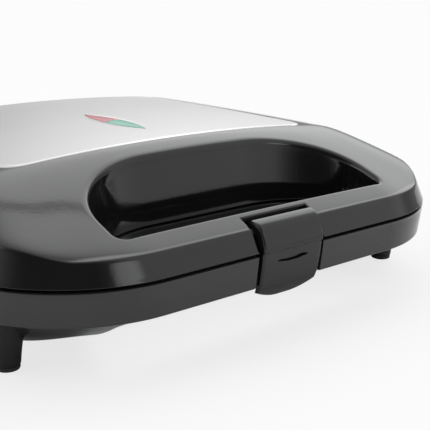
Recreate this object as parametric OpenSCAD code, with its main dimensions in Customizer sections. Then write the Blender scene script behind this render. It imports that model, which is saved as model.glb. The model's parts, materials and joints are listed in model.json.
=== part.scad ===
// Sandwich toaster with a hinged lid, a loop grip across the front and a snap latch.
// Millimetres, +Z up, front towards -Y. The origin is at the middle of the footprint, on the table.
// Every module is drawn in a frame whose Y starts at the front of the body and whose Z starts at
// the parting plane between lid and base; seated() moves it to the table frame.

/* [Body] */
// Width of the body at the parting plane
body_w = 225; // [215:1:240]
// Depth of the body at the parting plane
body_d = 222; // [216:1:236]
// Radius of the front corners in plan
front_r = 56; // [46:1:60]
// Radius of the rear corners in plan
rear_r = 40; // [30:1:50]
// Wall thickness of the moulded shells
wall = 2.5; // [2:0.1:3]
// Groove between lid and base
parting_gap = 1.2; // [0.8:0.1:1.6]

/* [Lid] */
// Height of the crown above the parting plane
lid_h = 30.1; // [29:0.1:36]
// Height at which the front band turns into the top slope
band_h = 9.5; // [8:0.1:11]
// Rise of the band for each millimetre inwards, at the front
band_slope = 2.0; // [1.8:0.05:2.6]
// How much steeper the band stands at the sides
side_steepness = 0.55; // [0:0.05:1]
// Fullness of the rounded sides
side_fullness = 3.1; // [2.4:0.1:4]
// Fall of the crown from the middle to the edge of the trim plate
crown_side = 3.6; // [2:0.1:4]
// Fall of the crown over 100 mm from its highest line
crown_depth = 1.3; // [0.5:0.1:2.5]

/* [Base] */
// Height of the drafted skirt
skirt_h = 13.2; // [12.5:0.1:16]
// How far the skirt is drafted inwards at its lower edge
skirt_in = 1.5; // [1:0.1:4]
// Width of the flat rim under the skirt
lip = 5.5; // [4:0.1:7]
// Run of the belly from the rim to its flat bottom, along the front, back and middle
belly_run = 29; // [24:0.5:32]
// Run of the belly at the corners, where the feet stand
belly_corner = 14; // [10:0.5:20]
// Depth of the tub below the parting plane
base_h = 28.5; // [28:0.1:34]
// Clearance between the tub and the table
ground_gap = 5; // [4:0.1:12]

/* [Grip] */
// Width of the finger opening
grip_w = 131; // [110:1:136]
// Depth of the grip bar, front to back
bar_d = 14.5; // [14:0.1:18]
// Back of the finger opening, from the front of the body
grip_back = 57.8; // [50:0.1:58]
// Half width of the rounded back corners of the opening
grip_corner_x = 40; // [20:1:48]
// Depth of the rounded back corners of the opening
grip_corner_y = 33; // [20:1:36]
// Radius of the front corners of the opening
grip_front_r = 4; // [3:0.5:8]

/* [Trim plate] */
// Width of the steel trim plate
plate_w = 156; // [140:1:160]
// Front edge of the trim plate, from the front of the body
plate_front = 70.5; // [68:0.5:76]
// Margin between the trim plate and the back of the body
plate_rear_margin = 25; // [22:0.5:30]
// Corner radius of the trim plate
plate_r = 10; // [6:1:16]
// Thickness of the steel
plate_t = 0.8; // [0.6:0.1:1.2]
// How far the plate stands proud of the shell
plate_proud = 0.4; // [0.2:0.1:0.5]

/* [Indicator] */
// Length of the leaf-shaped window
lens_len = 48; // [36:1:52]
// Width of the leaf-shaped window
lens_w = 9; // [8:0.5:14]
// Front tip of the window, behind the front edge of the trim plate
lens_setback = 21; // [14:0.5:26]
// How far the lenses stand above the crown
lens_proud = 0.9; // [0.6:0.1:1.4]

/* [Latch] */
// Width of the slot in the grip bar
slot_w = 34.4; // [32:0.1:38]
// Side clearance between the clip and the slot
slot_clear = 3; // [1:0.1:3.5]
// How far the clip stands proud of the front
clip_proud = 1.5; // [1:0.1:2]
// Radius of the latch pin
latch_pin_r = 1.5; // [1.2:0.05:1.6]
// How far the finger tab hangs below the skirt
tab_drop = 5.8; // [3:0.1:7]

/* [Hinge] */
// Distance from the middle of the body to each hinge
hinge_x = 62; // [50:1:72]
// Radius of the hinge knuckles
knuckle_r = 5.2; // [4.8:0.1:6]
// Width of the lid knuckle
knuckle_w = 18; // [14:0.5:22]
// Width of each base ear
ear_w = 7; // [5:0.5:9]
// Radius of the hinge pins
hinge_pin_r = 2; // [1.6:0.1:2.4]

/* [Cooking plates] */
// Width of a cooking plate
grill_w = 196; // [186:1:198]
// Depth of a cooking plate
grill_d = 126; // [116:1:127]
// Depth of the sandwich pockets
pocket_h = 9.6; // [8:0.1:10]
// Thickness of a cooking plate behind its pockets
grill_back = 3; // [2:0.1:3.2]
// Radius of the heating tube
tube_r = 3; // [2.5:0.1:3]

/* [Feet] */
// Radius of a foot where it meets the tub
foot_top_r = 6; // [5.5:0.1:6.4]
// Radius of a foot at the table
foot_low_r = 4.6; // [4.2:0.1:5]
// Distance from the side of the body to the middle of a foot
foot_side = 16; // [15.5:0.5:19]
// Distance from the front of the body to the middle of a front foot
foot_front = 38; // [37:0.5:44]
// Distance from the back of the body to the middle of a rear foot
foot_rear = 28; // [27:0.5:36]
// Thickness of the rubber pads
pad_t = 1.6; // [1:0.1:2]

/* [Hidden] */
$fn = 64;

fit = 0.15;                 // clearance around a piece that is set into another
run = 0.05;                 // radial running clearance of a pin
slack = 0.3;                // clearance beside a moving piece
half_gap = parting_gap / 2;
hinge_out = 2 * knuckle_r + slack;            // how far the hinges reach behind the body
total_d = clip_proud + body_d + hinge_out;
front_y = clip_proud - total_d / 2;
part_z = base_h + ground_gap;
cut = 1;                    // how far a cutting shape passes a face
high = 60;                  // taller than anything it cuts

module seated() translate([0, front_y, part_z]) children();
module flipped() mirror([0, 0, 1]) children();
module both_sides() {
    children();
    mirror([1, 0, 0]) children();
}

// ---- plan outlines ----
corner_steps = 8;
front_steps = 8;
side_steps = 6;
function arc_pts(cx, cy, r, a0) =
    [for (i = [0:corner_steps]) let (a = a0 + 90 * i / corner_steps) [cx + r * cos(a), cy + r * sin(a)]];
function between(p, q, n) = [for (i = [1:n - 1]) p + (q - p) * i / n];
// Rounded rectangle with its own front and rear radii, counter-clockwise from the front right corner
function plan_ring(half_w, y0, y1, rf, rb) =
    let (
        a = arc_pts(half_w - rf, y0 + rf, rf, -90),
        b = arc_pts(half_w - rb, y1 - rb, rb, 0),
        c = arc_pts(rb - half_w, y1 - rb, rb, 90),
        d = arc_pts(rf - half_w, y0 + rf, rf, 180),
        e = corner_steps
    )
    concat(a, between(a[e], b[0], side_steps), b, between(b[e], c[0], side_steps),
        c, between(c[e], d[0], side_steps), d, between(d[e], a[0], front_steps));
least_r = 2;
function body_ring(inset) = plan_ring(body_w / 2 - inset, inset, body_d - inset,
    max(front_r - inset, least_r), max(rear_r - inset, least_r));
plate_back = body_d - plate_rear_margin;
function plate_ring(inset) = plan_ring(plate_w / 2 - inset, plate_front + inset, plate_back - inset,
    max(plate_r - inset, least_r), max(plate_r - inset, least_r));

// Solid through a stack of rings with equal counts, listed upwards or inside out
function mean(pts) = [for (k = [0:2]) [for (p = pts) p[k]] * [for (p = pts) 1] / len(pts)];
module loft(rings) {
    n = len(rings[0]);
    m = len(rings);
    pts = concat([for (r = rings, p = r) p], [mean(rings[0]), mean(rings[m - 1])]);
    sides = [for (i = [0:m - 2], j = [0:n - 1]) let (k = (j + 1) % n, a = i * n, b = a + n)
        each [[a + j, b + j, b + k], [a + j, b + k, a + k]]];
    low = [for (j = [0:n - 1]) [n * m, j, (j + 1) % n]];
    top = [for (j = [0:n - 1]) let (a = (m - 1) * n) [n * m + 1, a + (j + 1) % n, a + j]];
    polyhedron(points = pts, faces = concat(sides, low, top));
}

// The same outlines as exact flat shapes
module rounded(w, d, r) {
    square([w - 2 * r, d], center = true);
    square([w, d - 2 * r], center = true);
    for (x = [-1, 1], y = [-1, 1]) translate([x * (w / 2 - r), y * (d / 2 - r)]) circle(r);
}
module body_plan(inset) {
    hw = body_w / 2 - inset;
    rf = front_r - inset;
    rb = rear_r - inset;
    translate([-hw, inset + rf]) square([2 * hw, body_d - 2 * inset - rf - rb]);
    translate([rf - hw, inset]) square([2 * (hw - rf), body_d / 2]);
    translate([rb - hw, body_d / 2]) square([2 * (hw - rb), body_d / 2 - inset]);
    for (s = [-1, 1]) {
        translate([s * (hw - rf), inset + rf]) circle(rf);
        translate([s * (hw - rb), body_d - inset - rb]) circle(rb);
    }
}

// ---- lid surface ----
foot_in = 5.5;              // where the top slope starts, from the outline
corner_back = 9;            // how much further back it starts at the front corners
corner_bend = 5;            // set-back of the rounded front at which most of that is reached
side_start = 1.5;           // the rounded sides would meet the band height this far outside the body
rise = 1.17;                // gain of the front slope until it flattens
flat_from = 0.7;            // share of the slope after which it flattens
crown_y = 80;               // highest line of the crown, from the front
blend = 1.2;                // width of the soft edge between band and slope
flatten = (rise - 1) / pow(1 - flat_from, 2);
function clamp(v) = min(max(v, 0), 1);
function ease(v) = let (t = clamp(v)) t * t * (3 - 2 * t);
function climb(v) = let (t = clamp(v)) rise * t - flatten * pow(max(t - flat_from, 0), 2);
function soft_min(a, b, k) = let (h = clamp(0.5 + 0.5 * (b - a) / k)) b * (1 - h) + a * h - k * h * (1 - h);
function slope_start(x) =
    let (out = clamp((abs(x) + front_r - body_w / 2) / front_r))
    foot_in + corner_back * (1 - exp(-front_r * (1 - sqrt(1 - out * out)) / corner_bend));
function crown(x, y) =
    let (
        start = slope_start(x),
        peak = lid_h - crown_side * pow(2 * x / plate_w, 2) - crown_depth * pow((y - crown_y) / 100, 2),
        u = (body_w / 2 + side_start - abs(x)) / (body_w / 2 + side_start - plate_w / 2),
        v = min((y - start) / (plate_front - start), (body_d - foot_in - y) / (plate_rear_margin - foot_in))
    )
    band_h + (peak - band_h) * (1 - pow(1 - clamp(u), side_fullness)) * climb(v);
// Height of the lid's outer face (off = 0) or inner face (off = wall), at a known inset
function lid_z(x, y, inset, off) =
    let (slope = band_slope + side_steepness * ease((abs(x) - 55) / 50))
    soft_min(half_gap + slope * (min(inset, 25) - off), crown(x, y) - off, blend);
function lid_ring(inset, off) = [for (p = body_ring(inset)) [p[0], p[1], lid_z(p[0], p[1], inset, off)]];
lid_insets = [0, 1, 2, 3, 4, 5, 6.2, 8, 10.5, 14, 18, 23, 29, 36, 44, 53, 63, 75, 88, 100];
inner_insets = [0, 1.5, 3, 4.5, 7, 11, 17, 25, 35, 47, 61, 78, 96];

// ---- base surface ----
belly_curve = 1.6;
belly_start = skirt_in + lip;
belly_insets = [for (t = [1, 0.86, 0.72, 0.6, 0.49, 0.39, 0.3, 0.22, 0.15, 0.09, 0.04, 0]) belly_start + (belly_run + 1) * t];
function belly_z(x, inset) =
    let (
        run = belly_corner + (belly_run - belly_corner) * ease((body_w / 2 - foot_side + 3.5 - abs(x)) / 30),
        t = clamp((inset - belly_start) / run)
    )
    -skirt_h - (base_h - skirt_h) * (1 - pow(1 - t, belly_curve));
function flat_ring(inset, z) = [for (p = body_ring(inset)) [p[0], p[1], z]];
function belly_ring(inset, in, up) = [for (p = body_ring(inset + in)) [p[0], p[1], belly_z(p[0], inset) + up]];
base_rings = concat([for (i = belly_insets) belly_ring(i, 0, 0)],
    [flat_ring(skirt_in, -skirt_h), flat_ring(skirt_in * 0.6, -skirt_h * 0.62), flat_ring(0, -half_gap)]);
base_hollow_rings = concat([for (i = [0:2:len(belly_insets) - 3]) belly_ring(belly_insets[i], wall * 0.6, wall)],
    [flat_ring(skirt_in + wall, wall - skirt_h), flat_ring(wall, -half_gap), flat_ring(wall, cut)]);

// ---- finger opening ----
function grip_pts(grow) =
    let (
        hw = grip_w / 2 + grow,
        yf = bar_d - grow,
        r = grip_front_r + grow,
        a = grip_corner_x + grow,
        b = grip_corner_y + grow,
        yc = grip_back - grip_corner_y,
        right = concat(
            [for (i = [0:4]) let (t = -90 + 90 * i / 4) [hw - r + r * cos(t), yf + r + r * sin(t)]],
            [for (i = [0:10]) let (t = 90 * i / 10) [hw - a + a * cos(t), yc + b * sin(t)]])
    )
    concat(right, [for (i = [len(right) - 1:-1:0]) [-right[i][0], right[i][1]]]);
module grip_column(grow) translate([0, 0, -high]) linear_extrude(2 * high) polygon(grip_pts(grow));

// ---- latch sizes ----
clip_w = slot_w - 2 * slot_clear;
pivot_y = 6.4;
pivot_z = 6.6;
pivot_boss_r = 3.2;
slot_back = bar_d - 3.9;
catch_y = 7.6;              // back of the recess in the base
block_w = slot_w + 8;       // solid part of the bars around the latch
tab_z = -(skirt_h + tab_drop);

// ---- fixings between shells and liners ----
boss_r = 4;
screw_r = 1.4;
head_r = 2.8;
head_h = 1.4;
liner_t = 2;
liner_z = half_gap + 1;
liner_in = wall + 1.9;
rear_land = 25.5;           // from the back of the body to the cooking plates
grill_y = body_d - rear_land - grill_d / 2;
bracket_w = knuckle_w + 2 * slack + 2 * ear_w;
front_boss = [24.5, 40];    // from the side and the front of the body
bosses = [[body_w / 2 - front_boss[0], front_boss[1]],
    [hinge_x + bracket_w / 2 + boss_r + 2, body_d - 17.5]];
module at_bosses() both_sides() for (p = bosses) translate([p[0], p[1], 0]) children();

// ---- hinge sizes ----
axis_y = body_d + knuckle_r + slack;
module along_x(w) rotate([0, 90, 0]) linear_extrude(w, center = true) children();

// Moulded shells ---------------------------------------------------------------

module lid_hollow() {
    difference() {
        loft(concat([[for (p = body_ring(wall)) [p[0], p[1], -cut]]],
            [for (d = inner_insets) lid_ring(d + wall, wall)]));
        grip_column(wall);
        translate([-block_w / 2, 0, -high]) cube([block_w, bar_d, 2 * high]);
        at_bosses() translate([0, 0, liner_z + liner_t]) cylinder(r = boss_r, h = high, $fn = 24);
    }
}
module lid_recess() {
    insets = [0, 4, 10, 20, 34, 50];
    grown = [for (d = insets) plate_ring(d - fit)];
    loft(concat(
        [for (i = [len(insets) - 1:-1:0]) [for (p = grown[i])
            [p[0], p[1], crown(p[0], p[1]) + plate_proud - plate_t - 0.05]]],
        [for (r = grown) [for (p = r) [p[0], p[1], lid_h + cut]]]));
}
module hinge_hole(r) rotate([0, 90, 0]) cylinder(r = r, h = body_w, center = true);
// Notch in the rear wall that a hinge arm passes through
module arm_notches(w) both_sides() translate([hinge_x - w / 2 - fit, body_d - wall - 4, -cut])
    cube([w + 2 * fit, high, cut + knuckle_r + fit]);
module lid_form() resize([0, 0, 0]) difference() {
    loft([for (d = lid_insets) lid_ring(d, 0)]);
    lid_hollow();
    grip_column(0);
    lid_recess();
    translate([-slot_w / 2, -cut, -high]) cube([slot_w, slot_back + cut, 2 * high]);
    translate([0, 0, plate_t]) leaf(high, fit);
    at_bosses() cylinder(r = screw_r + fit, h = liner_z + liner_t + 9, $fn = 20);
    arm_notches(knuckle_w);
}
module lid_shell() color([0.06, 0.06, 0.065]) seated() difference() {
    lid_form();
    translate([0, pivot_y, pivot_z]) rotate([0, 90, 0]) cylinder(r = latch_pin_r + run / 2, h = block_w - 2, center = true);
}

module foot_spots() both_sides() {
    translate([body_w / 2 - foot_side, foot_front, 0]) children();
    translate([body_w / 2 - foot_side, body_d - foot_rear, 0]) children();
}
foot_in_z = -skirt_h;       // top of the foot sockets
foot_straight = 8.5;        // straight upper part of a foot, most of it in its socket
cover_w = 130;
cover_d = 90;
cover_t = 1.2;
cover_screws = [[60, 40], [60, -40]];
module at_cover_screws() both_sides() for (p = cover_screws) translate([p[0], grill_y + p[1], 0]) children();
gland_z = -7.1;
gland_r = 4.2;
gland_bore = 3.4;
gland_face = body_d;        // flat face of the boss that carries the cord gland
gland_boss_r = 6;
gland_boss_y = body_d - liner_in + 0.2;
gland_inside = gland_face - gland_boss_y;     // the bush ends flush with its boss, clear of the inner frame
module gland_hole() translate([0, gland_boss_y - 20, gland_z]) rotate([-90, 0, 0])
    cylinder(r = gland_r + fit, h = 40, $fn = 40);
module base_form() difference() {
    loft(base_rings);
    difference() {
        loft(base_hollow_rings);
        grip_column(wall);
        translate([-block_w / 2, 0, -high]) cube([block_w, bar_d, 2 * high]);
        at_bosses() translate([0, 0, -high]) cylinder(r = boss_r, h = high - liner_z - liner_t, $fn = 24);
        at_cover_screws() translate([0, 0, -base_h]) cylinder(r = boss_r - 0.5, h = 7.2, $fn = 24);
        foot_spots() translate([0, 0, -high]) cylinder(r = foot_top_r + 2.2, h = high + foot_in_z + 4, $fn = 30);
    }
    grip_column(0);
    translate([-slot_w / 2, -cut, -high]) cube([slot_w, catch_y + cut, 2 * high]);
    translate([0, 0, -liner_z - liner_t - 9]) at_bosses() cylinder(r = screw_r + fit, h = high, $fn = 20);
    translate([0, grill_y, -base_h - cut]) linear_extrude(cut + cover_t + fit)
        rounded(cover_w + 2 * fit, cover_d + 2 * fit, 8, $fn = 24);
    translate([0, grill_y, -base_h - cut]) linear_extrude(cut + wall + cut)
        rounded(cover_w - 20, cover_d - 20, 8, $fn = 24);
    at_cover_screws() translate([0, 0, -base_h - cut]) cylinder(r = screw_r + fit, h = 7.2, $fn = 20);
    foot_spots() translate([0, 0, -high]) cylinder(r = screw_r + fit, h = high + foot_in_z + 3.2, $fn = 20);
    foot_spots() translate([0, 0, -high]) cylinder(r = foot_top_r + fit, h = high + foot_in_z, $fn = 36);
    gland_hole();
    flipped() arm_notches(bracket_w);
}
module catch_ridge() translate([-10, catch_y - 2.7, -7.5]) cube([20, 3, 2]);
module gland_boss() difference() {
    translate([0, gland_boss_y, gland_z]) rotate([-90, 0, 0])
        cylinder(r = gland_boss_r, h = gland_face - gland_boss_y, $fn = 40);
    gland_hole();
}
module base_shell() color([0.1, 0.1, 0.105]) seated() resize([0, 0, 0]) {
    base_form();
    catch_ridge();
    gland_boss();
}

// Hinges: an arm on the lid between two ears on the base. Each has a leaf that lies on the liner.
leaf_t = 1.6;
leaf_y = body_d - 22;
module hinge_leaf(w) difference() {
    union() {
        translate([-w / 2, leaf_y, liner_z + liner_t]) cube([w, body_d - leaf_y, leaf_t]);
        translate([-w / 2, body_d - wall - 1.7, half_gap]) cube([w, wall + 1.7, knuckle_r - half_gap]);
    }
    translate([0, leaf_y + 7, 0]) cylinder(r = screw_r + run / 2, h = high);
}
module knuckle(w) {
    translate([0, axis_y, 0]) along_x(w) circle(knuckle_r);
    translate([-w / 2, body_d - 1, half_gap]) cube([w, axis_y - body_d + 1, knuckle_r - half_gap]);
}
module lid_arm() translate([hinge_x, 0, 0]) difference() {
    union() {
        hinge_leaf(knuckle_w);
        knuckle(knuckle_w);
    }
    translate([0, axis_y, 0]) hinge_hole(hinge_pin_r + run);
}
module base_bracket() translate([hinge_x, 0, 0]) flipped() difference() {
    union() {
        hinge_leaf(bracket_w);
        for (s = [-1, 1]) translate([s * (knuckle_w / 2 + slack + ear_w / 2), 0, 0]) knuckle(ear_w);
    }
    translate([0, axis_y, 0]) hinge_hole(hinge_pin_r + run / 2);
}
module right_lid_hinge() color([0.07, 0.07, 0.07]) seated() lid_arm();
module left_lid_hinge() color([0.07, 0.07, 0.07]) seated() mirror([1, 0, 0]) lid_arm();
module right_base_hinge() color([0.09, 0.09, 0.09]) seated() base_bracket();
module left_base_hinge() color([0.09, 0.09, 0.09]) seated() mirror([1, 0, 0]) base_bracket();
module hinge_screw_set() both_sides() translate([hinge_x, leaf_y + 7, liner_z + liner_t + leaf_t])
    pan_screw(leaf_t + liner_t - 0.2);
module lid_hinge_screws() color([0.6, 0.6, 0.62]) seated() hinge_screw_set();
module base_hinge_screws() color([0.6, 0.6, 0.62]) seated() flipped() hinge_screw_set();

// Inner frames that close each shell around its cooking plate
module liner_plate() {
    difference() {
        translate([0, 0, liner_z]) linear_extrude(liner_t) body_plan(liner_in);
        grip_column(wall + fit);
        translate([0, grill_y, -cut]) linear_extrude(high) rounded(grill_w + 1, grill_d + 1, 10);
        translate([-block_w / 2 - fit, 0, -cut]) cube([block_w + 2 * fit, bar_d, high]);
        both_sides() translate([hinge_x, leaf_y + 7, -cut]) cylinder(r = screw_r + run / 2, h = high);
        at_bosses() {
            translate([0, 0, -cut]) cylinder(r = screw_r + run / 2, h = high);
            translate([0, 0, -cut]) cylinder(r = head_r + fit, h = cut + liner_z + head_h);
        }
    }
}
module lid_liner() color([0.09, 0.09, 0.09]) seated() liner_plate();
module base_liner() color([0.09, 0.09, 0.09]) seated() flipped() liner_plate();

module pan_screw(len) {
    cylinder(r = head_r, h = head_h);
    translate([0, 0, -len]) cylinder(r = screw_r, h = len);
}
module liner_screw_set() at_bosses() translate([0, 0, liner_z + head_h]) mirror([0, 0, 1]) pan_screw(9);
module lid_liner_screws() color([0.6, 0.6, 0.62]) seated() liner_screw_set();
module base_liner_screws() color([0.6, 0.6, 0.62]) seated() flipped() liner_screw_set();

// Cooking plates and what heats them ---------------------------------------------

rim_z = 0.4;                // each plate's rim, from the parting plane
rim_t = 2.2;
body_margin = 9;
grill_top = rim_z + pocket_h + grill_back;
shield_t = 0.8;
shield_z = grill_top + 2 * tube_r + 0.2;
shield_w = grill_w - 2 * body_margin + 4;
shield_d = grill_d - 2 * body_margin + 4;
plate_bosses = [[0, 44], [0, -49], [82, 0], [-82, 0]];
module at_plate_bosses() for (p = plate_bosses) translate([p[0], grill_y + p[1], 0]) children();

// Triangular pocket between three corners, with sloping walls
ridge = 4;
module pocket(corners) {
    centre = (corners[0] + corners[1] + corners[2]) / 3;
    hull() {
        for (p = corners) translate([p[0], p[1], rim_z - cut]) cylinder(r = 4, h = cut + 0.2, $fn = 20);
        for (p = corners) let (q = p + (centre - p) * 0.16)
            translate([q[0], q[1], rim_z + pocket_h - 3]) sphere(r = 3, $fn = 20);
    }
}
module pockets() {
    hx = (grill_w - 2 * body_margin) / 4 - ridge;
    hy = grill_d / 2 - body_margin - ridge;
    turn = 7;
    for (s = [-1, 1]) translate([s * (hx + ridge), grill_y, 0]) {
        pocket([[-s * (hx - 4), hy - 4], [s * (hx - 4 - turn), hy - 4], [-s * (hx - 4), 4 + turn - hy]]);
        pocket([[s * (hx - 4), 4 - hy], [s * (4 + turn - hx), 4 - hy], [s * (hx - 4), hy - 4 - turn]]);
    }
}
module grill_plate() difference() {
    union() {
        translate([0, grill_y, rim_z]) linear_extrude(rim_t) rounded(grill_w, grill_d, 10);
        translate([0, grill_y, rim_z]) linear_extrude(pocket_h + grill_back)
            rounded(grill_w - 2 * body_margin, grill_d - 2 * body_margin, 8);
        at_plate_bosses() translate([0, 0, grill_top - 1]) cylinder(r = boss_r, h = shield_z - grill_top + 1);
    }
    pockets();
    at_plate_bosses() translate([0, 0, grill_top - 1]) cylinder(r = screw_r + run / 2, h = high);
}
module upper_grill_plate() color([0.16, 0.16, 0.17]) seated() grill_plate();
module lower_grill_plate() color([0.16, 0.16, 0.17]) seated() flipped() grill_plate();
module plate_screw_set() at_plate_bosses() translate([0, 0, shield_z + shield_t])
    pan_screw(shield_z + shield_t - grill_top);
module upper_plate_screws() color([0.6, 0.6, 0.62]) seated() plate_screw_set();
module lower_plate_screws() color([0.6, 0.6, 0.62]) seated() flipped() plate_screw_set();

// Tubular heating element: a loop on the back of the plate, with both cold ends at the rear
loop_x = 64;
loop_y = 32;
loop_r = 18;
end_x = 22;
module tube_run(x0, y0, x1, y1) {
    length = norm([x1 - x0, y1 - y0]);
    translate([x0, y0, 0]) rotate([0, 0, atan2(y1 - y0, x1 - x0)]) rotate([0, 90, 0]) cylinder(r = tube_r, h = length);
}
module tube_bend(x, y, a0) translate([x, y, 0]) rotate([0, 0, a0]) rotate_extrude(angle = 90)
    translate([loop_r, 0]) circle(tube_r, $fn = 32);
module element() translate([0, grill_y, grill_top + tube_r]) {
    both_sides() {
        tube_run(0, -loop_y, loop_x - loop_r, -loop_y);
        tube_bend(loop_x - loop_r, loop_r - loop_y, -90);
        tube_run(loop_x, loop_r - loop_y, loop_x, loop_y - loop_r);
        tube_bend(loop_x - loop_r, loop_y - loop_r, 0);
        tube_run(end_x, loop_y, loop_x - loop_r, loop_y);
        translate([end_x, loop_y, 0]) rotate([0, -90, 0]) cylinder(r = tube_r / 3, h = 7);
    }
}
module upper_element() color([0.35, 0.33, 0.31]) seated() element();
module lower_element() color([0.35, 0.33, 0.31]) seated() flipped() element();

// Pressed pan that throws the heat back; its flange lies on the liner
module heat_shield() {
    flange_w = grill_w + 12;
    flange_d = grill_d + 6;
    translate([0, grill_y, 0]) difference() {
        union() {
            translate([0, 0, liner_z + liner_t]) linear_extrude(shield_t) rounded(flange_w, flange_d, 12);
            translate([0, 0, liner_z + liner_t]) linear_extrude(shield_z + shield_t - liner_z - liner_t)
                rounded(shield_w + 2 * shield_t, shield_d + 2 * shield_t, 9);
        }
        translate([0, 0, -cut]) linear_extrude(shield_z + cut) rounded(shield_w, shield_d, 8.2);
        for (p = plate_bosses) translate([p[0], p[1], 0]) cylinder(r = screw_r + fit, h = high);
        for (s = [-1, 1]) translate([s * 34, loop_y + 6, shield_z - cut]) cylinder(r = 3, h = 10);
    }
}
module upper_heat_shield() color([0.72, 0.72, 0.7]) seated() heat_shield();
module lower_heat_shield() color([0.72, 0.72, 0.7]) seated() flipped() heat_shield();

module thermostat() color([0.85, 0.83, 0.78]) seated() translate([-26, grill_y, grill_top]) {
    cylinder(r = 8, h = 4.6);
    for (s = [-1, 1]) translate([s * 4 - 1.2, -9.5, 1.6]) cube([2.4, 19, 0.8]);
}
module thermal_fuse() color([0.75, 0.72, 0.65]) seated() translate([26, grill_y, grill_top + 2]) {
    rotate([0, 90, 0]) cylinder(r = 2, h = 11, center = true);
    rotate([0, 90, 0]) cylinder(r = 0.6, h = 19, center = true);
}

// Base fittings ---------------------------------------------------------------------

module bottom_cover() color([0.12, 0.12, 0.12]) seated() difference() {
    translate([0, grill_y, -base_h]) linear_extrude(cover_t) rounded(cover_w, cover_d, 8);
    at_cover_screws() translate([0, 0, -high]) cylinder(r = screw_r + fit, h = high);
    for (i = [-4:4], s = [-1, 1]) translate([i * 10 - 1.5, grill_y + s * 22 - 8, -high]) cube([3, 16, high]);
}
module bottom_cover_screws() color([0.6, 0.6, 0.62]) seated() at_cover_screws()
    translate([0, 0, -base_h]) mirror([0, 0, 1]) pan_screw(6);

// Feet stand in sockets under the corners of the tub and are held by a screw from below
module foot_post() difference() {
    union() {
        translate([0, 0, foot_in_z - foot_straight]) cylinder(r = foot_top_r, h = foot_straight);
        translate([0, 0, pad_t - part_z])
            cylinder(r1 = foot_low_r, r2 = foot_top_r, h = part_z - pad_t + foot_in_z - foot_straight);
    }
    translate([0, 0, -part_z]) cylinder(r = head_r + fit, h = pad_t + 3);
    translate([0, 0, -part_z]) cylinder(r = screw_r + fit, h = part_z);
}
module front_feet() color([0.05, 0.05, 0.05]) seated() both_sides()
    translate([body_w / 2 - foot_side, foot_front, 0]) foot_post();
module rear_feet() color([0.05, 0.05, 0.05]) seated() both_sides()
    translate([body_w / 2 - foot_side, body_d - foot_rear, 0]) foot_post();
module foot_screws() color([0.6, 0.6, 0.62]) seated() foot_spots()
    translate([0, 0, pad_t + 3 - part_z]) mirror([0, 0, 1]) pan_screw(part_z + foot_in_z - pad_t);
module foot_pads() color([0.03, 0.03, 0.03]) seated() foot_spots()
    translate([0, 0, -part_z]) cylinder(r = foot_low_r - 0.2, h = pad_t);

floor_z = wall - base_h;
block_y = body_d - rear_land - 18;
module terminal_block() color([0.9, 0.88, 0.82]) seated() translate([40, block_y, floor_z]) difference() {
    translate([-12, -5, 0]) cube([24, 10, 5]);
    for (x = [-8, 0, 8]) translate([x, 0, 2.6]) rotate([90, 0, 0]) cylinder(r = 1.4, h = 12, center = true);
    for (x = [-8, 0, 8]) translate([x, 0, 2.6]) cylinder(r = 1.2, h = 5);
}
module earth_tag() color([0.8, 0.7, 0.35]) seated() translate([-40, block_y, floor_z]) {
    difference() {
        linear_extrude(0.8) {
            circle(4);
            translate([-1.5, -10]) square([3, 10]);
        }
        translate([0, 0, -cut]) cylinder(r = 1.6, h = 4);
    }
}
// Bush that the mains cord passes through, with its collar on the boss of the rear wall
module cord_gland() color([0.05, 0.05, 0.05]) seated() translate([0, gland_face, gland_z]) rotate([-90, 0, 0])
    difference() {
        union() {
            translate([0, 0, -gland_inside]) cylinder(r = gland_r, h = gland_inside + 1);
            cylinder(r = gland_boss_r - 0.2, h = 1.8);
            translate([0, 0, 1.8]) cylinder(r1 = gland_r + 0.9, r2 = gland_r, h = 8);
        }
        translate([0, 0, -10]) cylinder(r = gland_bore, h = 22);
    }
// Block under the liner that grips the cord behind the gland
clamp_y = body_d - 21.4;
module cord_clamp() color([0.85, 0.85, 0.83]) seated() translate([0, clamp_y, gland_z]) difference() {
    translate([-11, 0, -gland_bore - 2]) cube([22, 8, gland_bore + 2 - gland_z - liner_z - liner_t]);
    rotate([-90, 0, 0]) translate([0, 0, -cut]) cylinder(r = gland_bore - 0.2, h = 8 + 2 * cut);
    translate([0.2 - gland_bore, -cut, 0]) cube([2 * gland_bore - 0.4, 8 + 2 * cut, 10]);
    for (s = [-1, 1]) translate([s * 7.4, 4, -10]) cylinder(r = screw_r, h = 20);
}

// Insulated lead: a tube of eight sides swept along its route
lead_r = 1;
function unit(v) = v / norm(v);
function heading(path, i) = let (n = len(path) - 1)
    unit((i < n ? unit(path[i + 1] - path[i]) : [0, 0, 0]) + (i > 0 ? unit(path[i] - path[i - 1]) : [0, 0, 0]));
module lead(path) loft([for (i = [0:len(path) - 1]) let (
        t = heading(path, i), side = unit(cross(t, [0.35, 0.2, 0.9])), up = cross(side, t))
    [for (a = [0:45:315]) path[i] + lead_r * (cos(a) * side + sin(a) * up)]]);
module base_leads() color([0.75, 0.1, 0.08]) seated() {
    z = floor_z + 2.6;
    hole_y = grill_y + loop_y + 6;
    lead([[32, block_y + 1, z], [32, block_y + 14, z + 0.8], [18, clamp_y - 5.5, -14], [3, clamp_y - 1.4, gland_z - 0.4]]);
    lead([[40, block_y - 1, z], [40, hole_y, z], [36, hole_y, z + 0.9], [34, hole_y, 1.6 - shield_z - shield_t]]);
}
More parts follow.
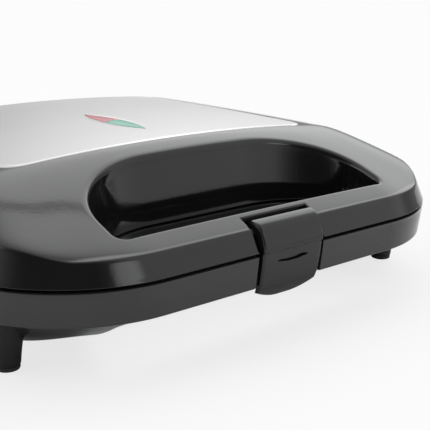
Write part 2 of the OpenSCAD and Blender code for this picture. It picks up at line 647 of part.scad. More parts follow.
module lid_leads() color([0.75, 0.1, 0.08]) seated() {
    z = shield_z + shield_t + lead_r + 0.4;
    hole_y = grill_y + loop_y + 6;
    lead([[34, hole_y, shield_z - 0.4], [34, hole_y, z], [44, body_d - 24, z], [hinge_x, body_d - 14, 9], [hinge_x, body_d - 8, 7]]);
    lead([[-34, hole_y, shield_z - 0.4], [-34, hole_y, z], [-12, lens_y1 + 2, z], [-9.6, lens_y1 - 4, z]]);
}

module hinge_pin() seated() translate([hinge_x, axis_y, 0]) rotate([0, 90, 0])
    cylinder(r = hinge_pin_r, h = knuckle_w + 2 * slack + 2 * ear_w, center = true);
module right_hinge_pin() color([0.7, 0.7, 0.72]) hinge_pin();
module left_hinge_pin() color([0.7, 0.7, 0.72]) mirror([1, 0, 0]) hinge_pin();

// Trim plate and indicator -------------------------------------------------------------

lens_y0 = plate_front + lens_setback;
lens_y1 = lens_y0 + lens_len;
lens_mid = (lens_y0 + lens_y1) / 2;
module leaf_plan(grow) {
    hl = lens_len / 2;
    hw = lens_w / 2;
    r = (hl * hl + hw * hw) / (2 * hw);
    translate([0, lens_mid]) intersection() {
        translate([r - hw, 0]) circle(r + grow, $fn = 128);
        translate([hw - r, 0]) circle(r + grow, $fn = 128);
    }
}
module leaf(h, grow) linear_extrude(h) leaf_plan(grow);
module trim_plate() color([0.78, 0.78, 0.77]) seated() resize([0, 0, 0]) difference() {
    insets = [0, 1.2, 4, 9, 16, 26, 38, 52];
    loft(concat(
        [for (i = [len(insets) - 1:-1:0]) [for (p = plate_ring(insets[i]))
            [p[0], p[1], crown(p[0], p[1]) + plate_proud - plate_t]]],
        [for (d = insets) [for (p = plate_ring(d)) [p[0], p[1], crown(p[0], p[1]) + plate_proud]]]));
    leaf(high, fit);
}
ceiling_z = lid_h - wall - 1;
module lens_body() {
    translate([0, 0, ceiling_z]) leaf(lid_h + lens_proud - ceiling_z, 0);
    translate([0, 0, ceiling_z - 0.8]) leaf(0.8, 1.6);
}
module front_half() translate([-10, lens_y0 - 10, 0]) cube([20, lens_mid - lens_y0 + 10 - fit / 2, high]);
module rear_half() translate([-10, lens_mid + fit / 2, 0]) cube([20, lens_len, high]);
module green_lens() color([0.15, 0.75, 0.55]) seated() intersection() {
    lens_body();
    front_half();
}
module red_lens() color([0.85, 0.25, 0.28]) seated() intersection() {
    lens_body();
    rear_half();
}
holder_z = shield_z + shield_t + 0.4;
holder_h = ceiling_z - 0.8 - 0.1 - holder_z;
lamp_r = 1.8;
module lamp_holder() color([0.9, 0.9, 0.88]) seated() difference() {
    translate([0, lens_mid, holder_z]) linear_extrude(holder_h) rounded(14, lens_len + 6, 3);
    translate([0, lens_mid, holder_z + 1]) linear_extrude(high) rounded(11.2, lens_len + 3, 2);
}
module lamp(y) translate([0, y, holder_z + 1 + lamp_r]) {
    rotate([90, 0, 0]) cylinder(r = lamp_r, h = 12, center = true);
    translate([0, 6, 0]) sphere(lamp_r, $fn = 32);
}
module ready_lamp() color([0.6, 0.9, 0.7]) seated() lamp(lens_mid - 11);
module power_lamp() color([1, 0.6, 0.4]) seated() lamp(lens_mid + 9);

// Latch ------------------------------------------------------------------------------------

module latch_pin() color([0.7, 0.7, 0.72]) seated() translate([0, pivot_y, pivot_z]) rotate([0, 90, 0])
    cylinder(r = latch_pin_r, h = block_w - 2, center = true);
// Side view of the clip: rolled top, bulged front, step, and the tab below the skirt
clip_front = [[6.2, 11.2], [4.2, 11.1], [2.4, 10.2], [0.9, 8.4], [-0.3, 5.8], [-1.1, 3.2], [-clip_proud, 1],
    [-clip_proud, 0.3], [-0.8, 0], [-0.5, -3], [-0.1, -6], [0.4, -9], [0.9, -11.5], [1.6, -14.5], [2.4, tab_z]];
clip_rear = [[4.2, tab_z], [3.9, -14.5], [3.3, -11.5], [4.4, -10.6], [4.4, -9.2], [2.8, -8.6],
    [2.4, -6], [2, -3], [1.6, 0], [1.4, 2], [2.2, 4.2], [pivot_y, pivot_z - pivot_boss_r]];
module clip_side() {
    difference() {
        union() {
            polygon(concat(clip_front, clip_rear, [[pivot_y + pivot_boss_r, pivot_z], [pivot_y + 2.2, 9.6]]));
            translate([pivot_y, pivot_z]) circle(pivot_boss_r);
        }
        translate([pivot_y, pivot_z]) circle(latch_pin_r + run);
    }
}
// Front view of the clip, with the rounded tab
module clip_front_view() {
    hw = clip_w / 2;
    drop = 3.6;
    r = (hw * hw + drop * drop) / (2 * drop);
    translate([-hw, tab_z + drop]) square([2 * hw, high / 2]);
    intersection() {
        translate([0, tab_z + r]) circle(r, $fn = 96);
        translate([-hw, tab_z - 1]) square([2 * hw, drop + 2]);
    }
}
module latch_clip() color([0.07, 0.07, 0.075]) seated() intersection() {
    rotate([90, 0, 90]) linear_extrude(clip_w, center = true) clip_side();
    rotate([90, 0, 0]) linear_extrude(2 * high, center = true) clip_front_view();
}

base_shell();
base_liner();
lower_grill_plate();
lower_plate_screws();
lower_element();
lower_heat_shield();
bottom_cover();
bottom_cover_screws();
base_liner_screws();
front_feet();
rear_feet();
foot_pads();
foot_screws();
terminal_block();
cord_gland();
cord_clamp();
base_leads();
earth_tag();
left_base_hinge();
right_base_hinge();
base_hinge_screws();
left_hinge_pin();
right_hinge_pin();
lid_shell();
lid_liner();
upper_grill_plate();
upper_plate_screws();
upper_element();
upper_heat_shield();
thermostat();
thermal_fuse();
lid_liner_screws();
left_lid_hinge();
right_lid_hinge();
lid_hinge_screws();
trim_plate();
green_lens();
red_lens();
lamp_holder();
ready_lamp();
power_lamp();
lid_leads();
latch_pin();
latch_clip();
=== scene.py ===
"""Dresses the packed sandwich toaster: shells, trim, cooking plates, latch, hinges, finishes and studio."""

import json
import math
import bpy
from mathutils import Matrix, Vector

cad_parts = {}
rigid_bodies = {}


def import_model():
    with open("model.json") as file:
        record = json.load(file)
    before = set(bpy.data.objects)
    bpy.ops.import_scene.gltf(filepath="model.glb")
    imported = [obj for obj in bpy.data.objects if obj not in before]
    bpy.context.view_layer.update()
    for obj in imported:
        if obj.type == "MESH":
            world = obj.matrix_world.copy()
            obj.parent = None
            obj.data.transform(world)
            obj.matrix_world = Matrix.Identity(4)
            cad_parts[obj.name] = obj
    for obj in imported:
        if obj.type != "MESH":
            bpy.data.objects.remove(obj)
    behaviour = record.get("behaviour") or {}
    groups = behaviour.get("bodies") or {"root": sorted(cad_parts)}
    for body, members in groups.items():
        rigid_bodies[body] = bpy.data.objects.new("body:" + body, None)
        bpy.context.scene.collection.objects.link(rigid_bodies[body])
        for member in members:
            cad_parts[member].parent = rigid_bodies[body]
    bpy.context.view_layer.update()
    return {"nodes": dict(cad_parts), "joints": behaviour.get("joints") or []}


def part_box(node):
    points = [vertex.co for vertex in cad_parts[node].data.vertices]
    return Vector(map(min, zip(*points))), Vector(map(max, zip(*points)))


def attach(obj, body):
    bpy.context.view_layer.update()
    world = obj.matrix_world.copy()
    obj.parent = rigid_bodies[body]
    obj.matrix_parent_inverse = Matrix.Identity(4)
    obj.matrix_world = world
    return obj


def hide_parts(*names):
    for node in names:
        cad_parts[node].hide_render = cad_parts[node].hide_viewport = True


bl_info = {
    "name": "Sandwich Toaster",
    "version": (1, 0, 0),
    "blender": (4, 5, 0),
    "location": "View3D > Sidebar > Toaster",
    "description": "Builds the visible pieces of a hinged sandwich toaster around its packed frame",
    "category": "Object",
}

from types import SimpleNamespace

import bmesh
import bpy
import numpy as np
from bpy.props import FloatProperty, FloatVectorProperty, PointerProperty
from mathutils import Matrix, Vector

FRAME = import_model()
NODES = FRAME["nodes"]
MM = 0.001
HINGE = next(j for j in FRAME["joints"] if j["name"] == "lid_hinge")
AXIS_Y = 227.5  # hinge axis behind the front of the body, mm
SEAT = np.array([0.0, HINGE["pos_m"][1] / MM - AXIS_Y, HINGE["pos_m"][2] / MM])
SHARP = math.radians(38)
MERGE = 1e-6  # points nearer than this are one


# ---------------------------------------------------------------- settings


def length(label, text, default, low, high):
    """A size in metres that a user may change."""
    return FloatProperty(name=label, description=text, default=default, min=low, max=high, unit="LENGTH", precision=4)


def colour(label, text, default):
    """A linear colour that a user may change."""
    return FloatVectorProperty(name=label, description=text, default=default, min=0, max=1, size=3, subtype="COLOR")


def level(label, text, default):
    """A plain number without a unit."""
    return FloatProperty(name=label, description=text, default=default, min=0.0, max=10.0)


class ToasterBody(bpy.types.PropertyGroup):
    """Sizes of the lid and the tub."""

    body_width: length("Body width", "Width at the parting plane", 0.225, 0.2, 0.25)
    body_depth: length("Body depth", "Depth at the parting plane", 0.222, 0.2, 0.25)
    front_radius: length("Front corners", "Plan radius of the front corners", 0.056, 0.04, 0.07)
    rear_radius: length("Rear corners", "Plan radius of the rear corners", 0.040, 0.03, 0.06)
    crown_height: length("Crown", "Highest point of the lid above the parting plane", 0.0301, 0.025, 0.04)
    band_height: length("Band", "Height of the upright band round the lid", 0.0095, 0.006, 0.014)
    rim_fillet: length("Grip rim", "Rounding along the rim of the grip opening", 0.0026, 0.001, 0.004)
    wall: length("Wall", "Wall of the mouldings", 0.0025, 0.0015, 0.004)
    skirt_height: length("Skirt", "Height of the skirt below the parting plane", 0.0132, 0.01, 0.02)
    tub_height: length("Tub", "Depth of the tub below the parting plane", 0.0285, 0.02, 0.04)


class ToasterColours(bpy.types.PropertyGroup):
    """Base colours of the finishes."""

    gloss: colour("Gloss black", "Lid, tub and latch moulding", (0.006, 0.006, 0.0065))
    matt: colour("Matt black", "Inner frames, hinges and bottom cover", (0.022, 0.022, 0.023))
    steel: colour("Trim steel", "Brushed trim panel", (0.6, 0.597, 0.592))
    nonstick: colour("Non-stick", "Coating of the cooking plates", (0.035, 0.035, 0.038))
    green: colour("Green window", "Ready side of the indicator", (0.08, 0.36, 0.25))
    red: colour("Red window", "Power side of the indicator", (0.45, 0.11, 0.13))
    cream: colour("Insulator", "Heat-resistant inner mouldings", (0.72, 0.69, 0.6))


class ToasterStudio(bpy.types.PropertyGroup):
    """Levels of the studio light."""

    ambient: level("Surroundings", "Light from the pale surroundings", 1.0)
    softbox: level("Softbox", "Brightness of the large softbox in the surroundings", 1.5)
    fill: level("Fill", "Brightness of the side panel", 0.9)
    floor_lift: level("Floor", "Own brightness of the floor in the picture", 0.75)


def sizes():
    """The body's sizes in millimetres."""
    group = bpy.context.scene.toaster_body
    return SimpleNamespace(**{name: getattr(group, name) / MM for name in ToasterBody.__annotations__})


# ---------------------------------------------------------------- shader writing


class Wire:
    """A number that runs between shader nodes; maths on it adds Math nodes."""

    def __init__(self, look, socket):
        self.look, self.socket = look, socket

    def __add__(self, other):
        return self.look.maths("ADD", self, other)

    def __sub__(self, other):
        return self.look.maths("SUBTRACT", self, other)

    def __rsub__(self, other):
        return self.look.maths("SUBTRACT", other, self)

    def __mul__(self, other):
        return self.look.maths("MULTIPLY", self, other)

    __radd__ = __add__
    __rmul__ = __mul__

    def fade(self, low, high):
        """Eased step from 0 at low to 1 at high."""
        values = {"Value": self, "From Min": low, "From Max": high}
        return self.look.node("ShaderNodeMapRange", {"interpolation_type": "SMOOTHSTEP"}, values)


class Graph:
    """A node tree that is being written."""

    def __init__(self, tree):
        self.tree = tree

    def feed(self, socket, value):
        """Links a wire or an output to a socket, or sets the socket's own value."""
        if isinstance(value, Wire):
            value = value.socket
        if isinstance(value, bpy.types.NodeSocket):
            self.tree.links.new(value, socket)
        else:
            socket.default_value = value

    def add(self, kind, settings=None, values=None):
        """Adds a node, makes its settings, then feeds its sockets."""
        made = self.tree.nodes.new(kind)
        for key, value in (settings or {}).items():
            setattr(made, key, value)
        for key, value in (values or {}).items():
            self.feed(made.inputs[key], value)
        return made


class Look(Graph):
    """The tree of a material or of the world."""

    def __init__(self, tree):
        super().__init__(tree)
        tree.nodes.clear()

    def node(self, kind, settings=None, values=None, out=0):
        """Adds a node and gives the wire that leaves it."""
        made = self.add(kind, settings, values)
        return Wire(self, made.outputs[out]) if len(made.outputs) else None

    def maths(self, operation, a, b):
        return self.node("ShaderNodeMath", {"operation": operation}, {0: a, 1: b})

    def noise(self, scale, detail=2.0, stretch=(1, 1, 1), rough=0.5):
        """Fractal noise from 0 to 1 on Object coordinates; scale is in cells a metre."""
        spot = self.node("ShaderNodeTexCoord", out="Object")
        place = self.node("ShaderNodeMapping", None, {"Vector": spot, "Scale": stretch})
        values = {"Vector": place, "Scale": scale, "Detail": detail, "Roughness": rough}
        return self.node("ShaderNodeTexNoise", None, values)

    def mix(self, share, a, b):
        """Colour a to colour b."""
        four = [(*c, 1.0) if isinstance(c, tuple) else c for c in (a, b)]
        return self.node("ShaderNodeMix", {"data_type": "RGBA"}, {0: share, 6: four[0], 7: four[1]}, 2)

    def bump(self, height, depth):
        """Relief that is depth metres deep."""
        return self.node("ShaderNodeBump", None, {"Strength": 1.0, "Distance": depth, "Height": height})


class Finish(Look):
    """A material with one Principled shader."""

    def __init__(self, name, **plain):
        self.material = bpy.data.materials.new(name)
        self.material.use_nodes = True
        super().__init__(self.material.node_tree)
        self.shader = self.tree.nodes.new("ShaderNodeBsdfPrincipled")
        self.output = self.tree.nodes.new("ShaderNodeOutputMaterial")
        self.tree.links.new(self.shader.outputs[0], self.output.inputs[0])
        self.give(**plain)

    def give(self, **values):
        """Sets or feeds sockets of the shader; underscores stand for spaces."""
        for key, value in values.items():
            if isinstance(value, tuple) and len(value) == 3:
                value = (*value, 1.0)
            self.feed(self.shader.inputs[key.replace("_", " ")], value)
        return self

    def paint(self, share, low, high, roughness, relief, depth):
        """Base colour from low to high, a roughness, and relief that is depth metres deep."""
        normal = self.bump(relief, depth)
        return self.give(Base_Color=self.mix(share, low, high), Roughness=roughness, Normal=normal)


FINISHES = {}


def finish(name):
    """Returns the named finish, written once."""
    if name not in FINISHES:
        writer, *values = FINISH_WRITERS[name]
        FINISHES[name] = writer(name, *values).material
    return FINISHES[name]


def scaled(shade, share):
    return tuple(min(1.0, c * share) for c in shade)


def chosen(label):
    """A colour from the sidebar."""
    return tuple(getattr(bpy.context.scene.toaster_colours, label))


def gloss_moulding(name, roughness=0.07, tint=1.0):
    """High-gloss black moulding: faint flow haze, fine orange peel and hairline wipe marks."""
    base = scaled(chosen("gloss"), tint)
    look = Finish(name, IOR=1.5)
    haze = look.noise(38, 3)
    wipes = look.noise(260, 2, (0.25, 3.2, 1.4)).fade(0.52, 0.8)
    dust = look.noise(5200, 1).fade(0.74, 0.8)
    peel = look.noise(620, 1)
    rough = haze * 0.035 + wipes * 0.02 + dust * 0.12 + roughness
    return look.paint(haze * 0.5 + dust * 0.4, base, scaled(base, 2.6), rough, peel, 0.000012)


def satin_moulding(name, tint=1.0, roughness=0.42, grain=0.00004):
    """Matt black moulding with a spark-eroded grain."""
    base = scaled(chosen("matt"), tint)
    look = Finish(name, IOR=1.49)
    grains = look.noise(2600, 2, rough=0.6)
    cloud = look.noise(24, 3)
    rough = grains * 0.16 + cloud * 0.06 + roughness
    return look.paint(cloud, scaled(base, 0.85), scaled(base, 1.3), rough, grains, grain)


def brushed_steel(name):
    """Trim sheet brushed across its width, with a soft unevenness."""
    base = chosen("steel")
    look = Finish(name, Metallic=1.0)
    lines = look.noise(1.0, 3, (14, 5200, 60), 0.6)
    broad = look.noise(1.0, 2, (7, 420, 20))
    cloud = look.noise(16, 2)
    rough = lines * 0.1 + cloud * 0.05 + 0.24
    return look.paint(lines * 0.6 + broad * 0.25, scaled(base, 0.9), scaled(base, 1.08), rough, lines, 0.000006)


def nonstick_coat(name):
    """Satin non-stick coating with fine pale specks and a cast grain below it."""
    base = chosen("nonstick")
    look = Finish(name, IOR=1.45)
    specks = look.noise(3400, 1).fade(0.68, 0.76)
    grain = look.noise(900, 3)
    cloud = look.noise(18, 3)
    coat = look.mix(cloud, scaled(base, 0.8), scaled(base, 1.25))
    rough = grain * 0.14 + specks * 0.1 + 0.3
    return look.paint(specks * 0.75, coat, (0.2, 0.2, 0.21), rough, grain, 0.00003)


def window_plastic(name, label):
    """Cloudy tinted window over a neon lamp, with fine ribs across it and a weak painted glow that stands in for the
    lamp's light shining through.
    """
    shade = chosen(label)
    look = Finish(name, IOR=1.49)
    cloud = look.noise(160, 2)
    ribs = look.noise(1.0, 1, (30, 1100, 30))
    # Painted light: the window is no lamp, and this emission paints the glow of the lamp behind it.
    look.give(Emission_Color=look.mix(cloud, scaled(shade, 0.8), shade), Emission_Strength=0.05)
    return look.paint(cloud * 0.6 + ribs * 0.2, shade, scaled(shade, 1.45), ribs * 0.1 + 0.16, ribs, 0.00002)


def plated_metal(name, shade, roughness, metallic=1.0, stain=None):
    """Plated or bare metal with tool marks and a slight stain."""
    look = Finish(name, Metallic=metallic)
    marks = look.noise(1400, 3, (1, 1, 0.3))
    cloud = look.noise(70, 3)
    rough = marks * 0.14 + cloud * 0.08 + roughness
    return look.paint(cloud, scaled(shade, 0.86), stain or scaled(shade, 1.05), rough, marks, 0.00001)


def soft_rubber(name):
    """Dull rubber with a bloom of pale dust."""
    look = Finish(name, IOR=1.52)
    grain = look.noise(1900, 3, rough=0.7)
    bloom = look.noise(90, 3)
    return look.paint(bloom, (0.012, 0.012, 0.012), (0.035, 0.034, 0.033), grain * 0.2 + 0.62, grain, 0.00005)


def cast_insulator(name):
    """Cream heat-resistant moulding with fine filler specks."""
    base = chosen("cream")
    look = Finish(name)
    specks = look.noise(2400, 2).fade(0.62, 0.75)
    cloud = look.noise(60, 2)
    body = look.mix(cloud, scaled(base, 0.93), base)
    return look.paint(specks * 0.4, body, (0.4, 0.36, 0.3), cloud * 0.15 + 0.4, cloud, 0.00004)


def wire_jacket(name):
    """Red silicone jacket with a faint talc bloom."""
    look = Finish(name, IOR=1.43)
    bloom = look.noise(500, 3)
    return look.paint(bloom, (0.42, 0.02, 0.015), (0.56, 0.06, 0.045), bloom * 0.15 + 0.4, bloom, 0.00002)


def lamp_glass(name, shade):
    """Small neon lamp behind the windows."""
    look = Finish(name, IOR=1.5, Transmission_Weight=0.5, Emission_Strength=0.25)
    cloud = look.noise(300, 1)
    glow = look.mix(cloud, scaled(shade, 0.8), shade)
    glass = look.mix(cloud, shade, scaled(shade, 1.2))
    return look.give(Base_Color=glass, Emission_Color=glow, Roughness=cloud * 0.1 + 0.08)


FINISH_WRITERS = {
    "gloss_lid": (gloss_moulding,),
    "gloss_tub": (gloss_moulding, 0.12, 3.2),
    "gloss_latch": (gloss_moulding, 0.09),
    "matt_frame": (satin_moulding,),
    "satin_hinge": (satin_moulding, 0.7, 0.3, 0.00002),
    "matt_cover": (satin_moulding, 1.1, 0.5, 0.00006),
    "satin_foot": (satin_moulding, 0.2, 0.5, 0.00002),
    "brushed_trim": (brushed_steel,),
    "nonstick": (nonstick_coat,),
    "green_window": (window_plastic, "green"),
    "red_window": (window_plastic, "red"),
    "zinc": (plated_metal, (0.62, 0.62, 0.6), 0.26),
    "ground_steel": (plated_metal, (0.66, 0.66, 0.67), 0.18),
    "sheet_aluminium": (plated_metal, (0.8, 0.8, 0.79), 0.34),
    "heated_tube": (plated_metal, (0.2, 0.17, 0.14), 0.38, 0.9, (0.13, 0.12, 0.14)),
    "brass": (plated_metal, (0.72, 0.52, 0.2), 0.3),
    "fuse_can": (plated_metal, (0.68, 0.63, 0.52), 0.28),
    "rubber": (soft_rubber,),
    "insulator": (cast_insulator,),
    "red_wire": (wire_jacket,),
    "green_lamp": (lamp_glass, (0.35, 0.75, 0.5)),
    "red_lamp": (lamp_glass, (0.85, 0.3, 0.18)),
}


# ---------------------------------------------------------------- mesh helpers


def seat(points):
    """Millimetres from the front of the body and the parting plane, to the table frame in metres."""
    return (np.asarray(points, float).reshape(-1, 3) + SEAT) * MM


def grid_faces(rows, cols, wrap_rows=False, wrap_cols=False, flip=False):
    """Quads of a grid whose rows run outwards and whose columns run anticlockwise; they face up."""
    k = np.arange(rows if wrap_rows else rows - 1)
    j = np.arange(cols if wrap_cols else cols - 1)
    k, j = np.meshgrid(k, j, indexing="ij")
    up, side = (k + 1) % rows, (j + 1) % cols
    quads = np.stack([k * cols + j, up * cols + j, up * cols + side, k * cols + side], -1).reshape(-1, 4)
    return quads[:, ::-1] if flip else quads


def smoothed(mesh, sharp=SHARP, turn=False):
    """Merges doubles, drops loose points and shades smooth between sharp edges."""
    form = bmesh.new()
    form.from_mesh(mesh)
    bmesh.ops.remove_doubles(form, verts=form.verts, dist=MERGE)
    bmesh.ops.delete(form, geom=[v for v in form.verts if not v.link_faces], context="VERTS")
    if turn:
        bmesh.ops.recalc_face_normals(form, faces=form.faces)
    for face in form.faces:
        face.smooth = True
    for edge in form.edges:
        if len(edge.link_faces) == 2:
            edge.smooth = edge.calc_face_angle(0.0) < sharp
    form.to_mesh(mesh)
    form.free()
    mesh.update()
    return mesh


def add_object(name, mesh):
    made = bpy.data.objects.new(name, mesh)
    bpy.context.scene.collection.objects.link(made)
    return made


def new_mesh(name, points, faces=()):
    """A mesh from points in metres."""
    mesh = bpy.data.meshes.new(name)
    mesh.from_pydata(np.asarray(points, float).tolist(), [], [list(map(int, f)) for f in faces])
    return mesh


def piece(name, points, faces, look, body, slot, replaces=(), sharp=SHARP, turn=False):
    """Makes a finished piece from points in millimetres and rides it on its body."""
    mesh = smoothed(new_mesh(name, seat(points), faces), sharp, turn=turn)
    return settle(add_object(name, mesh), look, body, replaces)


def settle(made, look, body, replaces=()):
    """Gives a piece its finish, body and the CAD nodes it stands for."""
    made.data.materials.clear()
    made.data.materials.append(finish(look))
    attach(made, body)
    if replaces:
        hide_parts(*replaces)
    return made


def baked(made):
    """Applies all modifiers, so that a plain mesh is left."""
    graph = bpy.context.evaluated_depsgraph_get()
    mesh = bpy.data.meshes.new_from_object(made.evaluated_get(graph))
    made.modifiers.clear()
    old, made.data = made.data, mesh
    name = old.name
    bpy.data.meshes.remove(old)
    mesh.name = name


def cut_away(made, tool):
    """Takes another object's form out of a piece, and removes that object."""
    cut = made.modifiers.new("cut", "BOOLEAN")
    cut.object, cut.operation, cut.solver = tool, "DIFFERENCE", "EXACT"
    baked(made)
    bpy.data.objects.remove(tool)


def softened(node, name, look, body, width, segments=2):
    """Stands for a CAD node with the same shape, its sharp edges rounded."""
    mesh = bpy.data.meshes.new(name)
    form = bmesh.new()
    form.from_mesh(NODES[node].data)
    bmesh.ops.remove_doubles(form, verts=form.verts, dist=2e-6)
    bmesh.ops.dissolve_limit(form, angle_limit=math.radians(0.6), verts=form.verts, edges=form.edges)
    form.to_mesh(mesh)
    form.free()
    made = add_object(name, mesh)
    edge = made.modifiers.new("soft edge", "BEVEL")
    edge.width, edge.segments = width * MM, segments
    edge.limit_method, edge.angle_limit = "ANGLE", math.radians(32)
    baked(made)
    smoothed(made.data)
    return settle(made, look, body, [node])


def kept(node, look):
    """Leaves a CAD node as it is, with its finish."""
    NODES[node].data.materials.clear()
    NODES[node].data.materials.append(finish(look))


def lathe(profile, spots, axis="z", steps=48):
    """Turns a profile of (radius, height) about each spot, upright or along y; gives points and faces."""
    points, faces = [], []
    angles = np.arange(steps) * 2 * math.pi / steps
    rings = grid_faces(len(profile), steps, wrap_cols=True, flip=True)
    for spot in spots:
        start = len(points)
        for radius, height in profile:
            for a in angles:
                x, y = radius * math.cos(a), radius * math.sin(a)
                turned = (x, y, height) if axis == "z" else (x, height, -y)
                points.append([spot[i] + turned[i] for i in range(3)])
        faces += [[start + i for i in f] for f in rings]
        faces.append([start + i for i in range(steps)][::-1])
        faces.append([start + (len(profile) - 1) * steps + i for i in range(steps)])
    return points, faces


def arc(middle, radius, start, end, count, depth=None):
    """Points on an arc between two angles in degrees; depth is its radius along y."""
    depth = radius if depth is None else depth
    turns = np.radians(np.linspace(start, end, count))
    return [(middle[0] + radius * math.cos(a), middle[1] + depth * math.sin(a)) for a in turns]


def rounded_ring(middle, half, radius, steps=6):
    """Points round a rectangle with rounded corners; half reaches to the corners' centres."""
    ring = []
    for quarter, (side, end) in enumerate(((1, 1), (-1, 1), (-1, -1), (1, -1))):
        corner = (middle[0] + side * half[0], middle[1] + end * half[1])
        ring += arc(corner, radius, 90 * quarter, 90 * quarter + 90, steps)
    return ring


def solid_between(low, high):
    """Closed solid between two grids of points with the same rows and columns."""
    rows, cols = high.shape[:2]
    n = rows * cols
    points = np.vstack([high.reshape(-1, 3), low.reshape(-1, 3)])
    top = grid_faces(rows, cols)
    rim = list(range(cols)) + [r * cols + cols - 1 for r in range(1, rows)]
    rim += [(rows - 1) * cols + c for c in range(cols - 2, -1, -1)]
    rim += [r * cols for r in range(rows - 2, 0, -1)]
    sides = [[a, b, b + n, a + n] for a, b in zip(rim, rim[1:] + rim[:1])]
    return points, [list(f) for f in top] + [list(f[::-1] + n) for f in top] + sides


# ---------------------------------------------------------------- the body's surfaces

# All in millimetres, from the front of the body and the parting plane.
GRIP_HALF, GRIP_FRONT, GRIP_BACK = 65.5, 14.5, 57.8
GRIP_CORNER, GRIP_CORNER_DEPTH, GRIP_FRONT_RADIUS = 40.0, 33.0, 4.0
PLATE_HALF, PLATE_FRONT, PLATE_BACK, PLATE_RADIUS = 78.0, 70.5, 197.0, 10.0
HALF_GAP = 0.6  # of the parting groove
SLOT_HALF, SLOT_BACK, CATCH_BACK, BLOCK_HALF = 16.4, 10.6, 7.6, 21.2
SLOT_FILLET = 0.5
WALL_LEAN = 4.6  # of the opening's back wall
SKIRT_DRAFT, SKIRT_FILLET, LIP = 1.5, 1.1, 5.5
LEAF_MID, LEAF_HALF_LENGTH, LEAF_HALF_WIDTH = 115.5, 24.0, 4.5
LEAF_RADIUS = (LEAF_HALF_LENGTH**2 + LEAF_HALF_WIDTH**2) / (2 * LEAF_HALF_WIDTH)

DOME_FALL_ACROSS, DOME_FALL_ALONG = 3.6, 1.3  # fall at the panel's side, and 100 mm from the peak
DOME_PEAK_Y, DOME_REACH = 80, 100
SIDE_OVERHANG, SIDE_FULLNESS = 1.5, 3.1
SLOPE_START, SLOPE_FULLNESS, REAR_SLOPE = 5.5, 1.35, 19.5
CORNER_BACK, CORNER_BEND = 9.0, 5.0  # the front slope starts further back round the corners
BAND_RISE, BAND_RISE_SIDE = 2.0, 0.55  # steepness of the band, and what the sides add
BAND_SIDE_START, BAND_SIDE_RUN, BAND_REACH = 55, 50, 25
CREASE_ROLL, CREASE_INSET, CREASE_FADE, CREASE_WIDTH = 0.7, 4.2, 2.8, 1.2

BELLY_RUN, BELLY_RUN_MORE, BELLY_SIDE, BELLY_FADE, BELLY_FULLNESS = 14, 15, 12.5, 30, 1.6
PANEL_LIFT, PANEL_EDGE, PANEL_ROLL = 0.4, 0.2, 1.4  # the panel above the crown, and its two edges
WINDOW_LIFT, WINDOW_DOME, WINDOW_SEAM_FALL = 0.45, 0.5, 0.12

COOKING_MIDDLE = 133.5
POCKET_X, POCKET_DEEP, POCKET_SLOPE = 44.5, 9.6, 7.0
GLAND_Z = -7.1
CATCH_RIM_FILLET = 1.4
FOOT_X, FOOT_ROWS = 96.5, (38.0, 194.0)


def ease(v):
    t = np.clip(v, 0, 1)
    return t * t * (3 - 2 * t)


def inset_of(x, y):
    """Distance inwards from the body's outline."""
    s = sizes()
    half, depth, front, rear = s.body_width / 2, s.body_depth, s.front_radius, s.rear_radius
    across = np.abs(x)
    inside = np.minimum(np.minimum(half - across, y), depth - y)
    near = front - np.hypot(across - (half - front), front - y)
    far = rear - np.hypot(across - (half - rear), y - (depth - rear))
    inside = np.where((across > half - front) & (y < front), near, inside)
    return np.where((across > half - rear) & (y > depth - rear), far, inside)


def crown(x, y):
    """The domed top of the lid above the band."""
    s = sizes()
    half, band, front = s.body_width / 2, s.band_height, s.front_radius
    peak = s.crown_height - DOME_FALL_ACROSS * (x / PLATE_HALF) ** 2
    peak = peak - DOME_FALL_ALONG * ((y - DOME_PEAK_Y) / DOME_REACH) ** 2
    side = (half + SIDE_OVERHANG - np.abs(x)) / (half + SIDE_OVERHANG - PLATE_HALF)
    out = np.clip((np.abs(x) + front - half) / front, 0, 1)
    start = SLOPE_START + CORNER_BACK * (1 - np.exp(-front * (1 - np.sqrt(1 - out**2)) / CORNER_BEND))
    rear = (s.body_depth - SLOPE_START - y) / REAR_SLOPE
    t = np.clip(np.minimum((y - start) / (PLATE_FRONT - start), rear), 0, 1)
    climb = 1 - (1 - t) ** SLOPE_FULLNESS
    return band + (peak - band) * (1 - (1 - np.clip(side, 0, 1)) ** SIDE_FULLNESS) * climb


def soft_min(a, b, width):
    """The lesser of two heights, with a rounded change between them."""
    h = np.clip(0.5 + 0.5 * (b - a) / width, 0, 1)
    return b * (1 - h) + a * h - width * h * (1 - h)


def lid_top(x, y, off=0.0):
    """Outside of the lid, or its inside where off is the wall: the steep band, then the crown."""
    inset = inset_of(x, y)
    slope = BAND_RISE + BAND_RISE_SIDE * ease((np.abs(x) - BAND_SIDE_START) / BAND_SIDE_RUN)
    band = HALF_GAP + slope * (np.minimum(inset, BAND_REACH) - off)
    roll = CREASE_ROLL * np.exp(-np.maximum(inset - CREASE_INSET, 0) / CREASE_FADE)
    return soft_min(band, crown(x, y) - roll - off, CREASE_WIDTH)


def belly(x, inset):
    """Height of the tub's belly, which dips sooner at the corners, where the feet stand."""
    s = sizes()
    run = BELLY_RUN + BELLY_RUN_MORE * ease((s.body_width / 2 - BELLY_SIDE - np.abs(x)) / BELLY_FADE)
    t = np.clip((inset - SKIRT_DRAFT - LIP) / run, 0, 1)
    return -s.skirt_height - (s.tub_height - s.skirt_height) * (1 - (1 - t) ** BELLY_FULLNESS)


